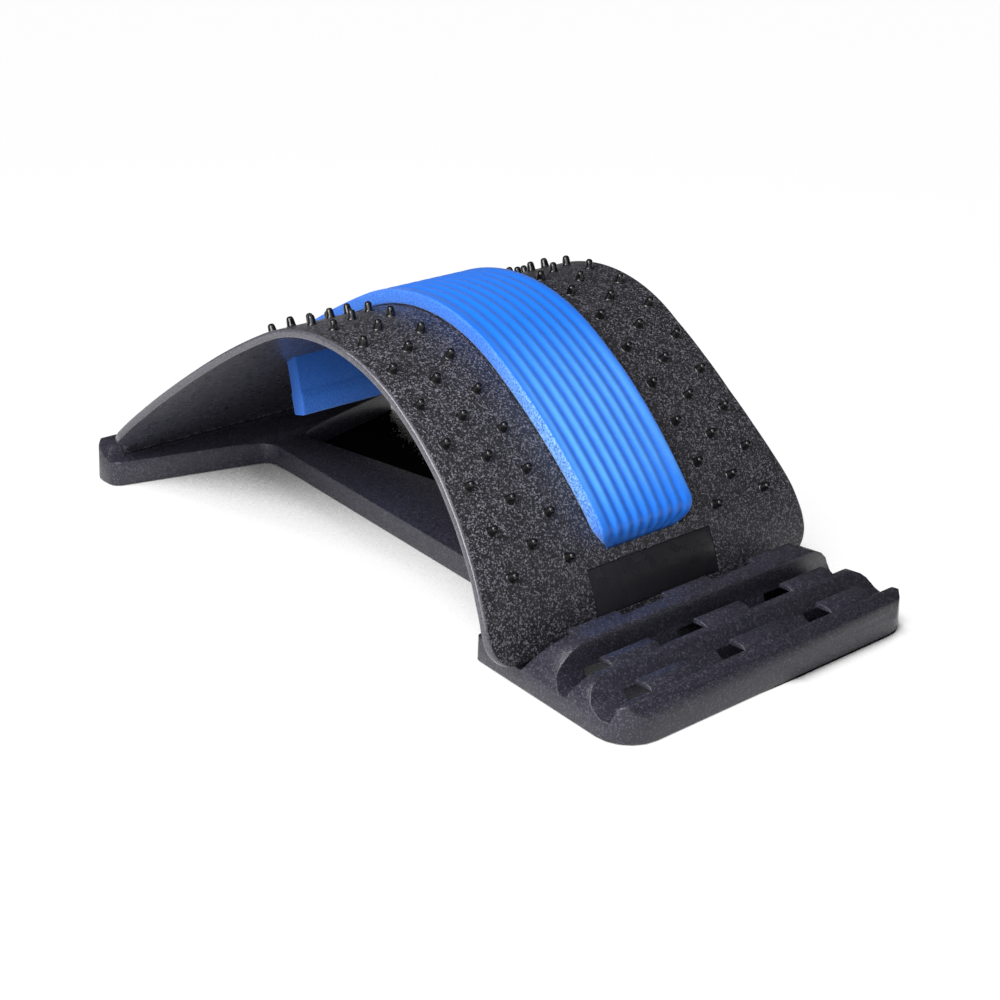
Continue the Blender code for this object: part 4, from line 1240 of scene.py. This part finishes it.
@dataclass
class Studio:
    """A white floor that keeps the object's shadow, a white surround and soft boxes.

    Camera rays and reflections see the floor glow white, except in the object's shade. The shade is
    found from how much of the sky each spot sees, and it is deeper on the far side, X > 0, where the
    photograph shows the floor black between the base and the plate.

    Attributes:
        floor_size: side of the square floor.
        floor_colour: colour of the paper.
        shade_colour: colour of the paper in the object's shade.
        glow: share of the glow where the sky is clear.
        glow_strength: strength of the glow, where 1 is white.
        shade_reach: how far things hide the sky from a spot.
        shade_dark: share of clear sky at which the shade is full.
        shade_clear: share of clear sky at which it ends.
        shade_from: X at which the near side's floor starts to darken towards the far side.
        near_clear: clear sky that the near side's floor is given on top.
        ambient: strength of the surround's light.
        boxes: the lights.
    """

    floor_size: float = 8.0
    floor_colour: str = "#F4F4F4"
    floor_roughness: float = 0.9
    shade_colour: str = "#0B0B0D"
    glow: float = 0.92
    glow_strength: float = 1.06
    shade_reach: float = 0.25
    shade_dark: float = 0.5
    shade_clear: float = 0.8
    shade_from: float = -12 * MM
    near_clear: float = 0.45
    ambient: float = 0.08
    boxes: list[SoftBox] = field(default_factory=lambda: [
        SoftBox("left_box", (-0.57, -0.10, 0.53), (0.5, 0.4), 6.0),
        SoftBox("low_box", (-0.70, -0.40, 0.34), (0.6, 0.4), 3.2),
        SoftBox("front_box", (-0.45, -1.24, 0.55), (0.9, 0.5), 2.0),
        SoftBox("top_box", (-0.10, -0.54, 1.23), (0.8, 0.4), 2.4),
        SoftBox("glint_box", (-0.40, 0.26, 0.85), (0.1, 0.1), 1.2),
    ])

    def clear_sky(self, tree: bpy.types.NodeTree) -> bpy.types.NodeSocket:
        """Find where the floor is clear of the object's shade.

        Args:
            tree: the floor's node tree.

        Returns:
            A socket that gives 0 in the shade and 1 outside it.
        """
        sky = add_node(tree, "ShaderNodeAmbientOcclusion", {"samples": 8}, {
            "Distance": self.shade_reach})
        place = add_node(tree, "ShaderNodeTexCoord").outputs["Object"]
        across = add_node(tree, "ShaderNodeSeparateXYZ", inputs={"Vector": place})
        near = add_node(tree, "ShaderNodeMapRange", inputs={
            "Value": across.outputs["X"], "From Min": self.shade_from, "From Max": -self.shade_from,
            "To Min": self.near_clear, "To Max": 0.0})
        share = add_node(tree, "ShaderNodeMath", {"operation": "ADD"}, {
            0: sky.outputs["AO"], 1: near.outputs["Result"]})
        clear = add_node(tree, "ShaderNodeMapRange", {"interpolation_type": "SMOOTHSTEP"}, {
            "Value": share.outputs["Value"], "From Min": self.shade_dark, "From Max": self.shade_clear})
        return clear.outputs["Result"]

    def paper(self) -> bpy.types.Material:
        """Build the floor's matt white paper.

        Returns:
            The material.
        """
        material, tree, shader = new_material("white_paper_floor")
        shader.inputs["Roughness"].default_value = self.floor_roughness
        shader.inputs["Specular IOR Level"].default_value = 0.0
        clear = self.clear_sky(tree)
        tone = add_node(tree, "ShaderNodeMix", {"data_type": "RGBA"}, {
            0: clear, 6: linear(self.shade_colour), 7: linear(self.floor_colour)})
        tree.links.new(tone.outputs[2], shader.inputs["Base Color"])
        lit = add_node(tree, "ShaderNodeMath", {"operation": "MULTIPLY"}, {0: clear, 1: self.glow})
        path = add_node(tree, "ShaderNodeLightPath")
        rays = add_node(tree, "ShaderNodeMath", {"operation": "MAXIMUM"}, {
            0: path.outputs["Is Camera Ray"], 1: path.outputs["Is Glossy Ray"]})
        seen = add_node(tree, "ShaderNodeMath", {"operation": "MULTIPLY"}, {
            0: rays.outputs["Value"], 1: lit.outputs["Value"]})
        glow = add_node(tree, "ShaderNodeEmission", inputs={
            "Color": WHITE, "Strength": self.glow_strength})
        mix = add_node(tree, "ShaderNodeMixShader", inputs={
            0: seen.outputs["Value"], 1: shader.outputs["BSDF"], 2: glow.outputs["Emission"]})
        output = next(node for node in tree.nodes if node.type == "OUTPUT_MATERIAL")
        tree.links.new(mix.outputs["Shader"], output.inputs["Surface"])
        return material

    def floor(self) -> None:
        """Lay the floor, which the camera sees white outside the shade."""
        half = self.floor_size / 2
        outline = ((-half, -half), (half, -half), (half, half), (-half, half))
        bm = bmesh.new()
        bm.faces.new([bm.verts.new((x, y, 0.0)) for x, y in outline])
        floor = add_piece("studio_floor", bm)
        dress(floor, [self.paper()])

    def world(self) -> None:
        """Surround the object with soft light that the camera sees as white."""
        world = bpy.data.worlds.new("studio_world")
        bpy.context.scene.world = world
        world.use_nodes = True
        tree = world.node_tree
        tree.nodes.clear()
        path = add_node(tree, "ShaderNodeLightPath")
        soft = add_node(tree, "ShaderNodeBackground", inputs={"Color": WHITE, "Strength": self.ambient})
        white = add_node(tree, "ShaderNodeBackground", inputs={"Color": WHITE, "Strength": 1.0})
        mix = add_node(tree, "ShaderNodeMixShader", inputs={
            0: path.outputs["Is Camera Ray"], 1: soft.outputs["Background"],
            2: white.outputs["Background"]})
        add_node(tree, "ShaderNodeOutputWorld", inputs={"Surface": mix.outputs["Shader"]})

    def build(self) -> None:
        """Set up the floor, the surround and the lights."""
        self.floor()
        self.world()
        for box in self.boxes:
            box.build()
        bpy.context.scene.view_settings.view_transform = "Standard"


def mount(piece: bpy.types.Object, body: Body, node: str | None = None) -> None:
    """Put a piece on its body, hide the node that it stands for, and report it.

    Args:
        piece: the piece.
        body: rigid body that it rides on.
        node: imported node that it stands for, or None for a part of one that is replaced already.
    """
    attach(piece, body.value)
    if node:
        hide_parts(node)
    log.info("%s: %d faces, rides on %s", piece.name, len(piece.data.polygons), body.value)


def corners(box: tuple[Vector, Vector]) -> list[list[float]]:
    """Return a box's lowest and highest corner as plain lists."""
    return [[float(value) for value in corner] for corner in box]


def main() -> None:
    """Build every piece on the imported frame, in order."""
    logging.basicConfig(level=logging.INFO, format="%(name)s: %(message)s")
    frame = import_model()
    PhotoCamera().build()
    Studio().build()

    arch = ArchProfile()
    path = PadPath(arch)
    mount(Base().build(frame["nodes"]["base_frame"]), Body.BASE, "base_frame")
    for foot, name in zip(Feet().build(), Feet.names):
        mount(foot, Body.BASE, name)
    mount(ArchPlate(arch, path).build(), Body.ARCH, "arch_plate")
    mount(PressureNubs(arch).build(), Body.ARCH)
    pad = LumbarPad(path).build()
    mount(pad, Body.ARCH, "lumbar_pad")
    mount(LabelPlate(arch).build(), Body.ARCH, "label_plate")


if __name__ == "__main__":
    main()
